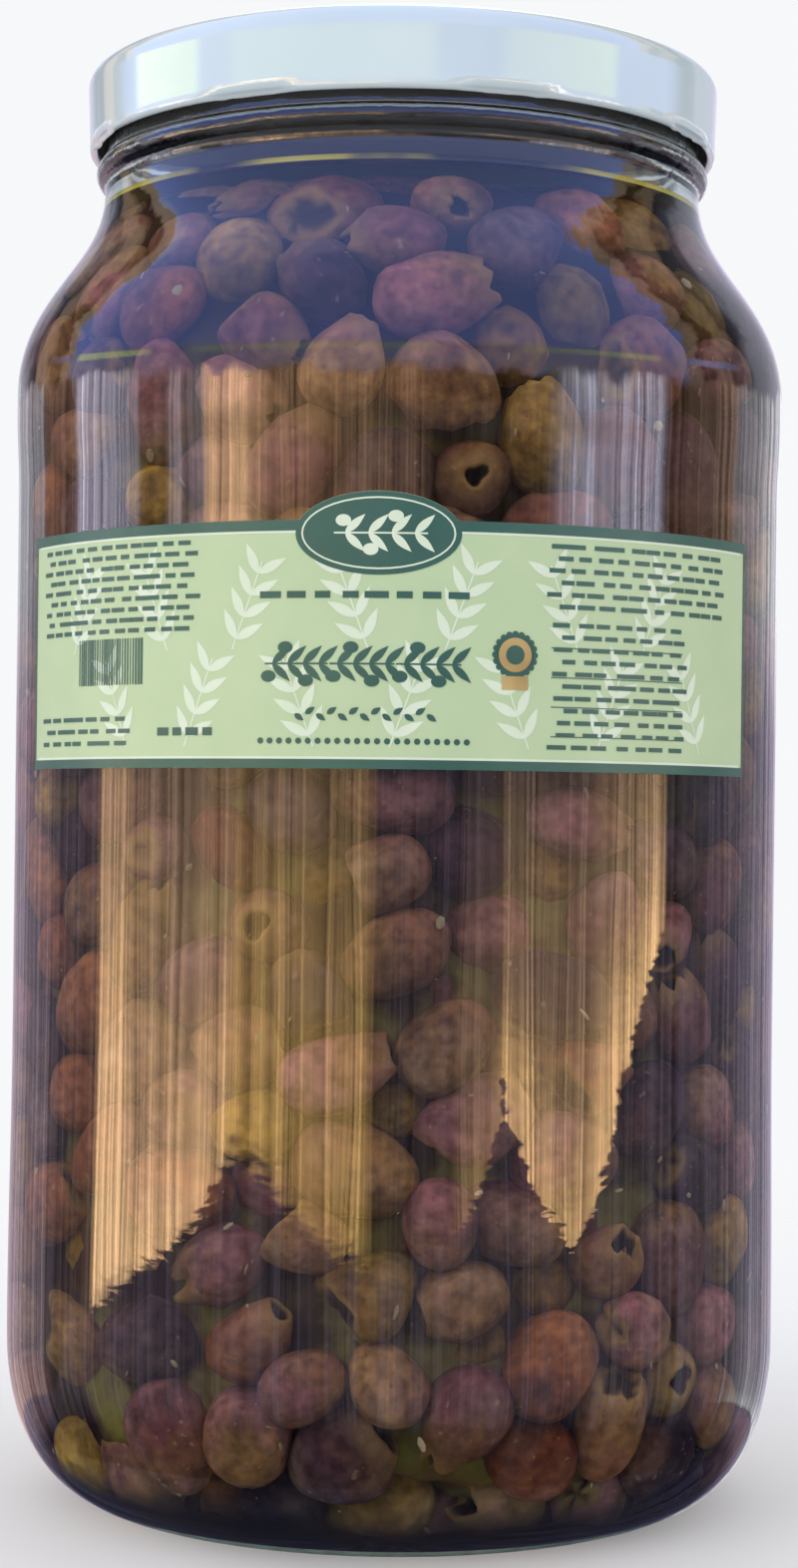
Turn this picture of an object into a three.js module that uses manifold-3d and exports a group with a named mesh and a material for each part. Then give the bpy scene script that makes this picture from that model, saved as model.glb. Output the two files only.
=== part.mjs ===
// A catering jar of pitted olives in oil: a clear glass jar with a rounded heel and shoulder, a white
// twist-off lid, a paper label with an oval tab, and the heap of olives that fills the jar.
// Millimetres, +Z up. The origin is the centre of the base, and the label faces -Y.

import * as THREE from "three";
import { mergeVertices } from "three/addons/utils/BufferGeometryUtils.js";
import Module from "manifold-3d";

const wasm = await Module();
wasm.setup();

// Jar, outside
const PANEL_RADIUS = 68.7; // straight wall that carries the label
const BAND_RADIUS = 69.1; // contact bands that guard the label, above the heel and below the shoulder
const BASE_RADIUS = 48.7; // outer edge of the ring the jar stands on
const STAND_RING = 6; // width of that ring
const PUSH_UP = 2.5; // rise of the base inside the ring
const HEEL_TOP = 30;
const HEEL_POWER = 2.2; // superellipse power of the heel: 2 is an ellipse, more is squarer
const BAND_HEIGHT = 4;
const BAND_STEP = 1.5; // height over which a band fades into the panel
const SHOULDER_BASE = 196.7;
const NECK_RADIUS = 53.8;
const NECK_BASE = 234.5;
const SHOULDER_BULGE = 0.475; // how far the shoulder holds its lower curve, as a share of its height
const SHOULDER_SWEEP = 0.41; // the same for its upper, hollow curve
const BEAD_RADIUS = 55.4; // ring under the lid
const BEAD_MIDDLE = 237.3;
const BEAD_HEIGHT = 4;
const BEAD_SPAN = 70; // degrees of the ring's round above and below its middle
const FINISH_RADIUS = 54; // glass inside the lid
const FINISH_BASE = 239.7;
const RIM_ROUND = 1.6;

// Jar, inside
const WALL = 3.2;
const BASE_THICKNESS = 6.5;
const INNER_HEEL_RADIUS = 45;
const INNER_HEEL_TOP = 32;
const MOUTH_RADIUS = 49.6;
const INNER_SHOULDER_BASE = 194.5;
const INNER_NECK_BASE = 233;

// Lid
const LID_RADIUS = 57;
const LID_BOTTOM = 240.9;
const LID_TOP = 255;
const LID_CORNER = 2.9;
const LID_SHEET = 0.8;
const LID_TAPER = 0.3; // the skirt draws in by this much towards its lower edge
const CURL_DEPTH = 1.6; // inward roll of the lower edge
const CURL_HEIGHT = 1.8;
const PANEL_EDGE = 45.5; // radius of the sunk panel in the lid's top
const PANEL_DROP = 1;
const LUG_COUNT = 8;
const LUG_WIDTH = 15;
const LUG_DEPTH = 2;
const LUG_HEIGHT = 2.6;
const FIRST_LUG = 19.6; // degrees from the front to the nearest lug, turning towards +X

// Label
const LABEL_BOTTOM = 129.5;
const LABEL_TOP = 169.1;
const LABEL_HALF_ANGLE = 61.5; // degrees to each side of the front
const LABEL_COLUMNS = 41;
const LABEL_THICKNESS = 0.2;
const TAB_CENTRE = 167; // height of the oval tab's centre
const TAB_HALF_WIDTH = 13.4;
const TAB_HALF_HEIGHT = 6.7;

// Olives
const OLIVE_LENGTH = 16;
const OLIVE_WIDTH = 12;
const OLIVE_VARIATION = 0.12; // largest share by which an olive is bigger or smaller
const OLIVE_STRAY = 0.15; // largest sideways shift, as a share of the spacing
const OLIVE_PITCH = 21.5; // spacing of the olives along a ring
const RING_PITCH = 19.5; // spacing of the rings along the glass
const CORE_INSET = 6.8; // the core's depth behind the glass
const CORE_SIDES = 18;
const HEAP_TOP = 226;
const HEAP_SEED = 20;

const GAP = 0.3; // clearance between touching pieces
const DRAW_RANGE = 2 ** 32;

// Facets
const JAR_SIDES = 36;
const HEEL_STEPS = 6;
const SHOULDER_STEPS = 8;
const BEAD_STEPS = 3;
const RIM_STEPS = 2;
const INNER_STEPS = 4; // each inner curve of the jar
const CORE_STEPS = 3; // each curve of the heap's core
const PLACE_STEPS = 12; // each curve of the line the olives follow
const LID_STEPS = 4;

const FRONT = new THREE.Vector3(0, -1, 0);
const UP = new THREE.Vector3(0, 0, 1);

// Points of a profile
const point = (radius, height) => new THREE.Vector2(radius, height);

// A quarter of a superellipse from (inner, bottom), lying flat, to (outer, top), standing upright.
function heelCurve(inner, bottom, outer, top, steps) {
  return Array.from({ length: steps + 1 }, (_, i) => {
    const angle = (i / steps) * (Math.PI / 2);
    const across = Math.sin(angle) ** (2 / HEEL_POWER);
    const fall = Math.max(0, Math.cos(angle)) ** (2 / HEEL_POWER);
    return point(inner + (outer - inner) * across, top - (top - bottom) * fall);
  });
}

// An S-curve that leaves a lower wall upright and meets the neck upright.
function shoulderCurve(lower, bottom, upper, top, steps) {
  const height = top - bottom;
  const curve = new THREE.CubicBezierCurve(
    point(lower, bottom),
    point(lower, bottom + SHOULDER_BULGE * height),
    point(upper, top - SHOULDER_SWEEP * height),
    point(upper, top),
  );
  return curve.getPoints(steps);
}

// Points on an ellipse about a centre, from one angle to another, in degrees from straight out.
function arc(radius, height, across, up, from, to, steps) {
  return Array.from({ length: steps + 1 }, (_, i) => {
    const angle = THREE.MathUtils.degToRad(from + ((to - from) * i) / steps);
    return point(radius + across * Math.cos(angle), height + up * Math.sin(angle));
  });
}

// Turns a closed profile, given anticlockwise in radius and height, about the Z axis.
function turned(profile, sides) {
  return new THREE.LatheGeometry(profile, sides).rotateX(Math.PI / 2);
}

// Solids that can be joined, and the way back to a mesh.
function toSolid(geometry) {
  const bare = new THREE.BufferGeometry();
  bare.setAttribute("position", geometry.getAttribute("position"));
  if (geometry.getIndex()) bare.setIndex(geometry.getIndex());
  const merged = mergeVertices(bare, 1e-3);
  return new wasm.Manifold(
    new wasm.Mesh({
      numProp: 3,
      vertProperties: merged.getAttribute("position").array,
      triVerts: new Uint32Array(merged.getIndex().array),
    }),
  );
}

function toGeometry(solid) {
  const mesh = solid.getMesh();
  const geometry = new THREE.BufferGeometry();
  geometry.setAttribute("position", new THREE.BufferAttribute(mesh.vertProperties, 3));
  geometry.setIndex(new THREE.BufferAttribute(mesh.triVerts, 1));
  geometry.computeVertexNormals();
  return geometry;
}

function node(name, geometry, look) {
  const mesh = new THREE.Mesh(geometry, new THREE.MeshStandardMaterial(look));
  mesh.name = name;
  return mesh;
}

// Glass jar

// The inside of the glass, from the edge of the base up to the neck.
function innerWall(steps) {
  const radius = PANEL_RADIUS - WALL;
  return [
    ...heelCurve(INNER_HEEL_RADIUS, BASE_THICKNESS, radius, INNER_HEEL_TOP, steps),
    ...shoulderCurve(radius, INNER_SHOULDER_BASE, MOUTH_RADIUS, INNER_NECK_BASE, steps),
  ];
}

function jarGeometry() {
  const rimTop = LID_TOP - LID_SHEET - GAP;
  const beadReach = BEAD_RADIUS - NECK_RADIUS;
  const heelBandTop = HEEL_TOP + BAND_HEIGHT;
  const shoulderBandBottom = SHOULDER_BASE - BAND_HEIGHT;
  const outside = [
    point(0, PUSH_UP),
    point(BASE_RADIUS - 2 * STAND_RING, PUSH_UP),
    point(BASE_RADIUS - STAND_RING, 0),
    ...heelCurve(BASE_RADIUS, 0, BAND_RADIUS, HEEL_TOP, HEEL_STEPS),
    point(BAND_RADIUS, heelBandTop),
    point(PANEL_RADIUS, heelBandTop + BAND_STEP),
    point(PANEL_RADIUS, shoulderBandBottom - BAND_STEP),
    point(BAND_RADIUS, shoulderBandBottom),
    ...shoulderCurve(BAND_RADIUS, SHOULDER_BASE, NECK_RADIUS, NECK_BASE, SHOULDER_STEPS),
    ...arc(NECK_RADIUS, BEAD_MIDDLE, beadReach, BEAD_HEIGHT / 2, -BEAD_SPAN, BEAD_SPAN, BEAD_STEPS),
    point(FINISH_RADIUS, FINISH_BASE),
    ...arc(FINISH_RADIUS - RIM_ROUND, rimTop - RIM_ROUND, RIM_ROUND, RIM_ROUND, 0, 90, RIM_STEPS),
  ];
  const inside = [
    point(MOUTH_RADIUS + RIM_ROUND / 2, rimTop),
    point(MOUTH_RADIUS, rimTop - RIM_ROUND),
    ...innerWall(INNER_STEPS).reverse(),
    point(0, BASE_THICKNESS + PUSH_UP),
  ];
  return turned([...outside, ...inside], JAR_SIDES);
}

// Lid

function lidGeometry() {
  const panelTop = LID_TOP - PANEL_DROP;
  const skirtBottom = LID_RADIUS - LID_TAPER;
  const inner = LID_RADIUS - LID_SHEET;
  const underside = LID_TOP - LID_SHEET;
  const roundBottom = CURL_HEIGHT / 2;
  const curlMiddle = skirtBottom - CURL_DEPTH / 2;
  const profile = [
    point(0, panelTop - LID_SHEET),
    point(PANEL_EDGE, panelTop - LID_SHEET),
    point(PANEL_EDGE + PANEL_DROP, underside),
    point(inner - LID_CORNER / 2, underside),
    point(inner, underside - LID_CORNER / 2),
    point(inner - LID_TAPER, LID_BOTTOM + CURL_HEIGHT),
    ...arc(curlMiddle, LID_BOTTOM + roundBottom, CURL_DEPTH / 2, roundBottom, 180, 360, LID_STEPS),
    ...arc(LID_RADIUS - LID_CORNER, LID_TOP - LID_CORNER, LID_CORNER, LID_CORNER, 0, 90, LID_STEPS),
    point(PANEL_EDGE + PANEL_DROP, LID_TOP),
    point(PANEL_EDGE, panelTop),
    point(0, panelTop),
  ];
  let solid = toSolid(turned(profile, JAR_SIDES));
  for (let i = 0; i < LUG_COUNT; i++) {
    solid = solid.add(toSolid(lugGeometry(FIRST_LUG + (i * 360) / LUG_COUNT)));
  }
  return toGeometry(solid);
}

// A lug is a stretch of the curl that is pressed inwards, under the thread of the glass.
function lugGeometry(degrees) {
  const outer = LID_RADIUS - LID_TAPER - CURL_DEPTH / 2;
  const lug = new THREE.Shape();
  lug.moveTo(-LUG_WIDTH / 2, 0);
  lug.lineTo(LUG_WIDTH / 2, 0);
  lug.lineTo(LUG_WIDTH / 4, LUG_DEPTH - CURL_DEPTH / 2);
  lug.lineTo(-LUG_WIDTH / 4, LUG_DEPTH - CURL_DEPTH / 2);
  const settings = { depth: LUG_HEIGHT - CURL_HEIGHT / 4, bevelEnabled: false };
  const solid = new THREE.ExtrudeGeometry(lug, settings);
  solid.translate(0, -outer, LID_BOTTOM + CURL_HEIGHT / 4);
  return solid.rotateZ(THREE.MathUtils.degToRad(degrees));
}

// Label

// Upper edge of the label at a distance along it from the middle: straight, with the oval tab rising above.
function labelEdge(along) {
  const share = Math.min(1, Math.abs(along) / TAB_HALF_WIDTH);
  return Math.max(LABEL_TOP, TAB_CENTRE + TAB_HALF_HEIGHT * Math.sqrt(1 - share * share));
}

// A strip of flat columns is wrapped round the panel, each column's top cut to the edge above.
function labelGeometry() {
  const inner = PANEL_RADIUS + GAP;
  const turn = 2 * THREE.MathUtils.degToRad(LABEL_HALF_ANGLE);
  const strip = new THREE.BoxGeometry(turn, LABEL_THICKNESS, 1, LABEL_COLUMNS, 1, 1);
  const places = strip.getAttribute("position");
  for (let i = 0; i < places.count; i++) {
    const angle = places.getX(i);
    const radius = inner + LABEL_THICKNESS / 2 - places.getY(i);
    const share = places.getZ(i) + 0.5;
    const height = THREE.MathUtils.lerp(LABEL_BOTTOM, labelEdge(angle * inner), share);
    places.setXYZ(i, radius * Math.sin(angle), -radius * Math.cos(angle), height);
  }
  return strip;
}

// Olives

// A repeatable draw between 0 and 1.
function dice(seed) {
  let state = seed >>> 0;
  return () => {
    state = (state + 0x6d2b79f5) >>> 0;
    let mixed = Math.imul(state ^ (state >>> 15), state | 1);
    mixed ^= mixed + Math.imul(mixed ^ (mixed >>> 7), mixed | 61);
    return ((mixed ^ (mixed >>> 14)) >>> 0) / DRAW_RANGE;
  };
}

// One olive lying against the glass: its flat side faces the wall, and its length turns along the wall.
function oliveGeometry(wall, outward, sidewards, roll, size) {
  const olive = new THREE.IcosahedronGeometry(0.5, 0);
  olive.scale(OLIVE_WIDTH * size, OLIVE_LENGTH * size, OLIVE_WIDTH * size);
  const upwards = new THREE.Vector3().crossVectors(outward, sidewards);
  const frame = new THREE.Matrix4().makeBasis(sidewards, upwards, outward);
  const depth = GAP + (OLIVE_WIDTH * size) / 2;
  const centre = wall.clone().addScaledVector(outward, -depth);
  olive.rotateZ(roll).applyMatrix4(frame.setPosition(centre));
  return olive;
}

// Places for the olives, ring by ring along the inside of the glass, with the glass's outward direction.
function olivePlaces(random) {
  const radius = PANEL_RADIUS - WALL;
  const line = new THREE.CurvePath();
  const wall = innerWall(PLACE_STEPS);
  wall.slice(1).forEach((end, i) => line.add(new THREE.LineCurve(wall[i], end)));
  const rings = Math.round(line.getLength() / RING_PITCH);
  const places = [];
  for (let ring = 0; ring < rings; ring++) {
    const at = line.getPointAt((ring + 0.5) / rings);
    const along = line.getTangentAt((ring + 0.5) / rings);
    const count = Math.round((2 * Math.PI * (at.x - OLIVE_WIDTH / 2)) / OLIVE_PITCH);
    for (let i = 0; i < count; i++) {
      const stray = OLIVE_STRAY * (2 * random() - 1);
      const turn = (2 * Math.PI * (i + (ring % 2) / 2 + stray)) / count;
      const aside = new THREE.Vector3(Math.cos(turn), Math.sin(turn), 0);
      const outside = FRONT.clone().applyAxisAngle(UP, turn);
      const outward = outside.clone().multiplyScalar(along.y).addScaledVector(UP, -along.x);
      const wallPoint = outside.multiplyScalar(at.x).setZ(at.y);
      const flatness = radius * (1 - Math.cos(Math.PI / JAR_SIDES));
      wallPoint.addScaledVector(outward, -flatness);
      places.push({ wallPoint, outward, aside });
    }
  }
  return places;
}

function heapGeometry() {
  const random = dice(HEAP_SEED);
  const core = innerWall(CORE_STEPS).map(({ x, y }) => point(x - CORE_INSET, y));
  core[0].setY(BASE_THICKNESS + CORE_INSET);
  core.at(-1).setY(HEAP_TOP - CORE_INSET);
  const profile = [point(0, core[0].y), ...core, point(0, core.at(-1).y)];
  const solids = [toSolid(turned(profile, CORE_SIDES))];
  for (const { wallPoint, outward, aside } of olivePlaces(random)) {
    const size = 1 + OLIVE_VARIATION * (2 * random() - 1);
    const roll = Math.PI * random();
    solids.push(toSolid(oliveGeometry(wallPoint, outward, aside, roll, size)));
  }
  return toGeometry(wasm.Manifold.union(solids));
}

const jar = new THREE.Group();
jar.add(
  node("glass_jar", jarGeometry(), { color: 0xdfeae4, roughness: 0.02, transparent: true, opacity: 0.3 }),
  node("lid", lidGeometry(), { color: 0xd3dee8, roughness: 0.25, metalness: 0.1 }),
  node("label", labelGeometry(), { color: 0xc4d8a8, roughness: 0.55 }),
  node("olives", heapGeometry(), { color: 0x6a4a3f, roughness: 0.4 }),
);

export default jar;
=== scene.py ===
import math

import bpy
import numpy as np
from mathutils import Matrix, Vector


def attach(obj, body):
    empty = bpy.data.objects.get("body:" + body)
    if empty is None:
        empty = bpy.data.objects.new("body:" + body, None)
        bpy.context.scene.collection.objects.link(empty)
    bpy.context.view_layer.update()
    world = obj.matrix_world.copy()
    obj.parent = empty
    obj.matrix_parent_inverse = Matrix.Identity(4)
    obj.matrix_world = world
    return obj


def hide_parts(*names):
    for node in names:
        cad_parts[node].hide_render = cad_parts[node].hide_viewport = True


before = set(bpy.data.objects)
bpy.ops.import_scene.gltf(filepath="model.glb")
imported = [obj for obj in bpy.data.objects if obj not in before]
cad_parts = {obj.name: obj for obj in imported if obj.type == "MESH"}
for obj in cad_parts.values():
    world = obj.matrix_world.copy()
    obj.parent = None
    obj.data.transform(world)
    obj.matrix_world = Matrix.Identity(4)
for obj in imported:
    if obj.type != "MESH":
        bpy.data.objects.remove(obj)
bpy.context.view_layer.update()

# A catering jar of pitted olives in oil. Sizes are in millimetres and become metres when a mesh is made.
# The label faces -Y, and the jar's axis is Z.

MM = 0.001
MERGE_DISTANCE = 1e-6

# Glass
PANEL_RADIUS = 68.7
BAND_RADIUS = 69.1
BASE_RADIUS = 48.7
STAND_RING = 6.0
FOOT_HEIGHT = 2.4
PUSH_UP = 2.5
HEEL_TOP = 30.0
HEEL_POWER = 2.2
BAND_HEIGHT = 4.0
HEEL_STEP = 50.0
SHOULDER_STEP = 14.0
SHOULDER_BASE = 196.7
NECK_RADIUS = 53.8
NECK_BASE = 234.5
SHOULDER_BULGE = 0.475
SHOULDER_SWEEP = 0.41
BEAD_RADIUS = 55.4
BEAD_MIDDLE = 237.3
BEAD_HEIGHT = 4.0
BEAD_FOOT = 0.6
FINISH_RADIUS = 54.0
FINISH_BASE = 239.7
RIM_TOP = 253.9
RIM_ROUND = 1.6
WALL = 3.2
BASE_THICKNESS = 6.5
INNER_HEEL_RADIUS = 45.0
INNER_HEEL_TOP = 32.0
MOUTH_RADIUS = 49.6
INNER_SHOULDER_BASE = 194.5
INNER_NECK_BASE = 233.0
INNER_RADIUS = PANEL_RADIUS - WALL
JAR_SIDES = 128

# Oil
OIL_TOP = 230.0
OIL_INTO_GLASS = 0.2
MENISCUS_RISE = 1.1
MENISCUS_WIDTH = 3.0
MENISCUS_LEAN = 0.3
OIL_WALL_END = 1.0
OIL_LINE_FOOT = 0.1
OIL_LINE_LEAN = 0.1
# Height up to which the foot of the oil carries a dark band of painted shade
FOOT_SHADE_TOP = 15.0

# Lid
LID_RADIUS = 57.0
LID_BOTTOM = 240.9
LID_TOP = 255.0
LID_CORNER = 2.6
LID_SHEET = 0.7
LID_TAPER = 0.3
CURL_DEPTH = 1.6
CURL_HEIGHT = 1.8
CURL_FILLET = 0.6
CURL_INNER_FILLET = 0.4
LID_LAND = 1.5
LID_SIDES = 192
LID_PANEL_EDGE = 45.5
LID_PANEL_DROP = 1.0
LID_PANEL_STEP = 1.0
LUG_COUNT = 8
FIRST_LUG = 20.4
LUG_HALF_ANGLE = 8.5
LUG_RISE = 0.8
LUG_LEDGE = 0.3
LUG_END = 3.0
LUG_DENT = 0.8
LUG_REACH = 0.4
LUG_INSIDE = 50.0

# Label
LABEL_BOTTOM = 129.5
LABEL_TOP = 169.1
LABEL_HALF_ANGLE = 61.5
LABEL_BACK = PANEL_RADIUS + 0.03
LABEL_FRONT = LABEL_BACK + 0.12
TAB_CENTRE = 167.0
TAB_HALF_WIDTH = 13.4
TAB_HALF_HEIGHT = 6.7
TAB_EDGE = 0.01
OVAL_INSET = 0.05
OVAL_LINE_INSET = (1.0, 0.9)
OVAL_LINE = 0.28
BORDER_TOP = 1.7
BORDER_BOTTOM = 1.5
BORDER_SIDE = 0.45
PALE_LINE = 0.4
PALE_END = 0.01
INK_THICKNESS = 0.02
PALE_INK_LIFT = 0.03
GREEN_INK_LIFT = 0.06
TOP_INK_LIFT = 0.09
SEAL_PLACE = (22.3, 148.0)
SEAL_RADIUS = 3.3
SEAL_PETALS = 20
SEAL_PETAL = 0.55
SEAL_GOLD = 2.75
SEAL_EYE = 1.55
SEAL_EYE_LIFT = 0.03
RIBBON_HALF_WIDTH = 2.2
RIBBON_FALL = (5.6, 3.4)
SPRIG_STALK = 0.14
SPRIG_LEAVES = (0.12, 0.86)
SPRIG_OLIVE = (1.25, 0.95)
LEAF_SLIMNESS = 0.3
LEAF_LEAN = 0.75
LABEL_COLUMNS = 96
TAB_COLUMNS = 40

# Olives
HEAP_SEED = 11
HEAP_TOP = 227.0
HEAP_FILL = 0.655
OLIVE_HALF_LENGTH = (7.4, 10.8)
OLIVE_HALF_WIDTH = (5.9, 8.3)
OLIVE_ROUNDEST = 0.84
OLIVE_RINGS, OLIVE_SIDES = 13, 18
EGG_SKEW = 0.16
END_BLUNTNESS = (0.82, 1.02)
FLATTENING = (0.9, 1.0)
LUMP_COUNT = 4
LUMP_WAVE = 0.32
LUMP_SIZE = (0.1, 0.42)

# Holes left by the stones, and ends cut off
PIT_SHARE = 0.32
HOLE_RADIUS = (1.9, 3.1)
HOLE_DEPTH = (3.5, 6.5)
HOLE_LOBES = ((2, 0.05, 0.3), (3, 0.0, 0.2))
TORN_SHARE = 0.55
TEAR = (0.5, 1.9)
CLEAN_TEAR = 0.12
CUT_SHARE = 0.3
CUT_PLACE = (0.5, 0.8)
CUT_LEAN = 0.45
CUT_FLESH = 1.2
# How far into a cut end the painted shade begins
CUT_SHADE_DEPTH = 2.2

# How the heap settles
START_HALF = 66.0
START_LOW = 8.0
START_DROP = 6.0
START_CLEARANCE = 5.0
OLIVE_PRESS = 0.9
WALL_PRESS = 0.84
RELAX_STEPS = 160
SETTLE_GAIN = 1.5
SPREAD_STEPS = 95
SPREAD_PUSH = 0.12
SPREAD_DEPTH = 26.0
PAIR_STEPS = 8
PAIR_MARGIN = 3.0
NECK_REACH = 8.0
WALL_CLEARANCE = 0.12
WALL_LAYER = 11.5
TOP_LAYER = 14.0

# What lies behind the outer olives, and what floats before them
SHELL_DEPTH = 17.0
BEHIND_RINGS, BEHIND_SIDES = 8, 12
CORE_INSET = 9.0
CORE_BUMP = 0.9
CORE_WAVES = 8
CORE_WAVE = 0.28
CORE_TOP_INSET = 3.0
CORE_SIDES = 96
SHRED_GAP = 0.5
SHRED_FOOT_GAP = 1.0
SHRED_TOP_GAP = 6.0
SHRED_SHEET_SIDES = 64
SHRED_THICKNESS = 0.18

# Each kind of olive: its share of the heap, dark to light skin, the blush at one end, and its specks
KINDS = {
    "olives_mauve": {
        "share": 0.34,
        "skin": ((0.195, 0.069, 0.084), (0.3, 0.108, 0.132), (0.42, 0.158, 0.195)),
        "blush": (0.3, 0.158, 0.054),
        "speck": (0.45, 0.255, 0.21),
    },
    "olives_tan": {
        "share": 0.20,
        "skin": ((0.27, 0.135, 0.063), (0.375, 0.192, 0.087), (0.48, 0.262, 0.128)),
        "blush": (0.315, 0.12, 0.105),
        "speck": (0.18, 0.09, 0.045),
    },
    "olives_ochre": {
        "share": 0.14,
        "skin": ((0.283, 0.135, 0.027), (0.394, 0.204, 0.0375), (0.541, 0.31, 0.06)),
        "blush": (0.209, 0.14, 0.039),
        "speck": (0.16, 0.0761, 0.03),
    },
    "olives_dark": {
        "share": 0.20,
        "skin": ((0.033, 0.0165, 0.039), (0.063, 0.03, 0.063), (0.12, 0.051, 0.09)),
        "blush": (0.195, 0.09, 0.078),
        "speck": (0.3, 0.18, 0.18),
    },
    "olives_russet": {
        "share": 0.12,
        "skin": ((0.225, 0.063, 0.036), (0.33, 0.102, 0.0495), (0.435, 0.158, 0.0675)),
        "blush": (0.195, 0.0675, 0.063),
        "speck": (0.42, 0.225, 0.12),
    },
}
DARK_CORNER_GAIN = 2.2
DARK_CORNER = (8.0, 118.0)
BLOOM = (0.40, 0.29, 0.27)
BRUISE = (0.06, 0.026, 0.036)
FLESH = (0.42, 0.25, 0.09)
# Painted shade: the near-black colour inside stone holes and deep in cut ends
HOLE_SHADE = (0.025, 0.013, 0.010)

# How far a face has to turn to count as facing in or up
FACING_IN = -1e-3
FACING_UP = 0.5
DISH_FACING_UP = 0.3
DISH_DEPTH = 0.5
LINER_LEAN = 0.1

# Clear bodies: how they bend light and how they tint it
GLASS_IOR = 1.5
OIL_IOR = 1.47
WET_IOR = 1.0
GLASS_TINT, GLASS_DENSITY = (0.62, 0.90, 0.72), 22.0
OIL_TINT, OIL_DENSITY = (0.80, 0.70, 0.22), 42.0


# Profiles, each a list of (radius, height)

def heel_curve(inner, bottom, outer, top, steps):
    """A quarter of a superellipse that starts flat at (inner, bottom) and ends upright at (outer, top)."""
    angles = np.linspace(0, math.pi / 2, steps + 1)
    across = np.sin(angles) ** (2 / HEEL_POWER)
    fall = np.clip(np.cos(angles), 0, 1) ** (2 / HEEL_POWER)
    return [(inner + (outer - inner) * a, top - (top - bottom) * f) for a, f in zip(across, fall)]


def shoulder_curve(lower, bottom, upper, top, steps):
    """An S-curve that leaves a wall upright and meets the neck upright."""
    height = top - bottom
    corners = np.array([
        (lower, bottom),
        (lower, bottom + SHOULDER_BULGE * height),
        (upper, top - SHOULDER_SWEEP * height),
        (upper, top),
    ])
    points = []
    for t in np.linspace(0, 1, steps + 1):
        weights = [(1 - t) ** 3, 3 * t * (1 - t) ** 2, 3 * t * t * (1 - t), t ** 3]
        points.append(tuple(weights @ corners))
    return points


def round_curve(radius, height, across, up, start, end, steps):
    """Points on an ellipse, between two angles in degrees from straight out."""
    angles = np.radians(np.linspace(start, end, steps + 1))
    return [(radius + across * math.cos(a), height + up * math.sin(a)) for a in angles]


def soft_step(start, end, steps, along_height=True):
    """A smooth S between two points that leaves and arrives along the height, or else along the radius."""
    points = []
    for t in np.linspace(0, 1, steps + 1):
        eased = (1 - math.cos(math.pi * t)) / 2
        across, up = (eased, t) if along_height else (t, eased)
        points.append((start[0] + (end[0] - start[0]) * across, start[1] + (end[1] - start[1]) * up))
    return points


def straight(start, end, steps):
    """Evenly spaced points between two points, without the ends."""
    shares = np.linspace(0, 1, steps + 1)[1:-1]
    return [(start[0] + (end[0] - start[0]) * t, start[1] + (end[1] - start[1]) * t) for t in shares]


def inner_wall(steps, out=0.0):
    """The inside of the glass from the middle of the base up to the neck, moved outwards by a little."""
    radius = INNER_RADIUS + out
    heel = heel_curve(INNER_HEEL_RADIUS, BASE_THICKNESS - out, radius, INNER_HEEL_TOP, steps)
    shoulder = shoulder_curve(radius, INNER_SHOULDER_BASE, MOUTH_RADIUS + out, INNER_NECK_BASE, steps)
    middle = (0.0, BASE_THICKNESS + PUSH_UP - out)
    return [middle, *straight(middle, heel[0], 8), *heel, *straight(heel[-1], shoulder[0], 12), *shoulder]


def jar_profile():
    """The glass, up its outside from the middle of the base, over the rim and down its inside."""
    ring_inner = BASE_RADIUS - STAND_RING
    heel_band_top = HEEL_TOP + BAND_HEIGHT
    shoulder_band_bottom = SHOULDER_BASE - BAND_HEIGHT
    panel_bottom = heel_band_top + HEEL_STEP
    panel_top = shoulder_band_bottom - SHOULDER_STEP
    outside = [
        (0.0, PUSH_UP),
        (ring_inner / 2, PUSH_UP),
        *soft_step((ring_inner - STAND_RING, PUSH_UP), (ring_inner, 0.0), 8, along_height=False),
        (BASE_RADIUS - STAND_RING / 2, 0.0),
        *heel_curve(BASE_RADIUS, 0.0, BAND_RADIUS, HEEL_TOP, 26),
        (BAND_RADIUS, HEEL_TOP + BAND_HEIGHT / 2),
        *soft_step((BAND_RADIUS, heel_band_top), (PANEL_RADIUS, panel_bottom), 10),
        *straight((PANEL_RADIUS, panel_bottom), (PANEL_RADIUS, panel_top), 12),
        *soft_step((PANEL_RADIUS, panel_top), (BAND_RADIUS, shoulder_band_bottom), 10),
        (BAND_RADIUS, SHOULDER_BASE - BAND_HEIGHT / 2),
        *shoulder_curve(BAND_RADIUS, SHOULDER_BASE, NECK_RADIUS, NECK_BASE, 30),
        *round_curve(NECK_RADIUS, BEAD_MIDDLE, BEAD_RADIUS - NECK_RADIUS, BEAD_HEIGHT / 2, -80, 80, 12),
        (FINISH_RADIUS, FINISH_BASE),
        *straight((FINISH_RADIUS, FINISH_BASE), (FINISH_RADIUS, RIM_TOP - RIM_ROUND), 5),
        *round_curve(FINISH_RADIUS - RIM_ROUND, RIM_TOP - RIM_ROUND, RIM_ROUND, RIM_ROUND, 0, 90, 6),
    ]
    rim_inner = round_curve(MOUTH_RADIUS + RIM_ROUND, RIM_TOP - RIM_ROUND, RIM_ROUND, RIM_ROUND, 90, 180, 6)
    neck = straight(rim_inner[-1], (MOUTH_RADIUS, INNER_NECK_BASE), 6)
    return outside + rim_inner + neck + inner_wall(24)[::-1]


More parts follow.
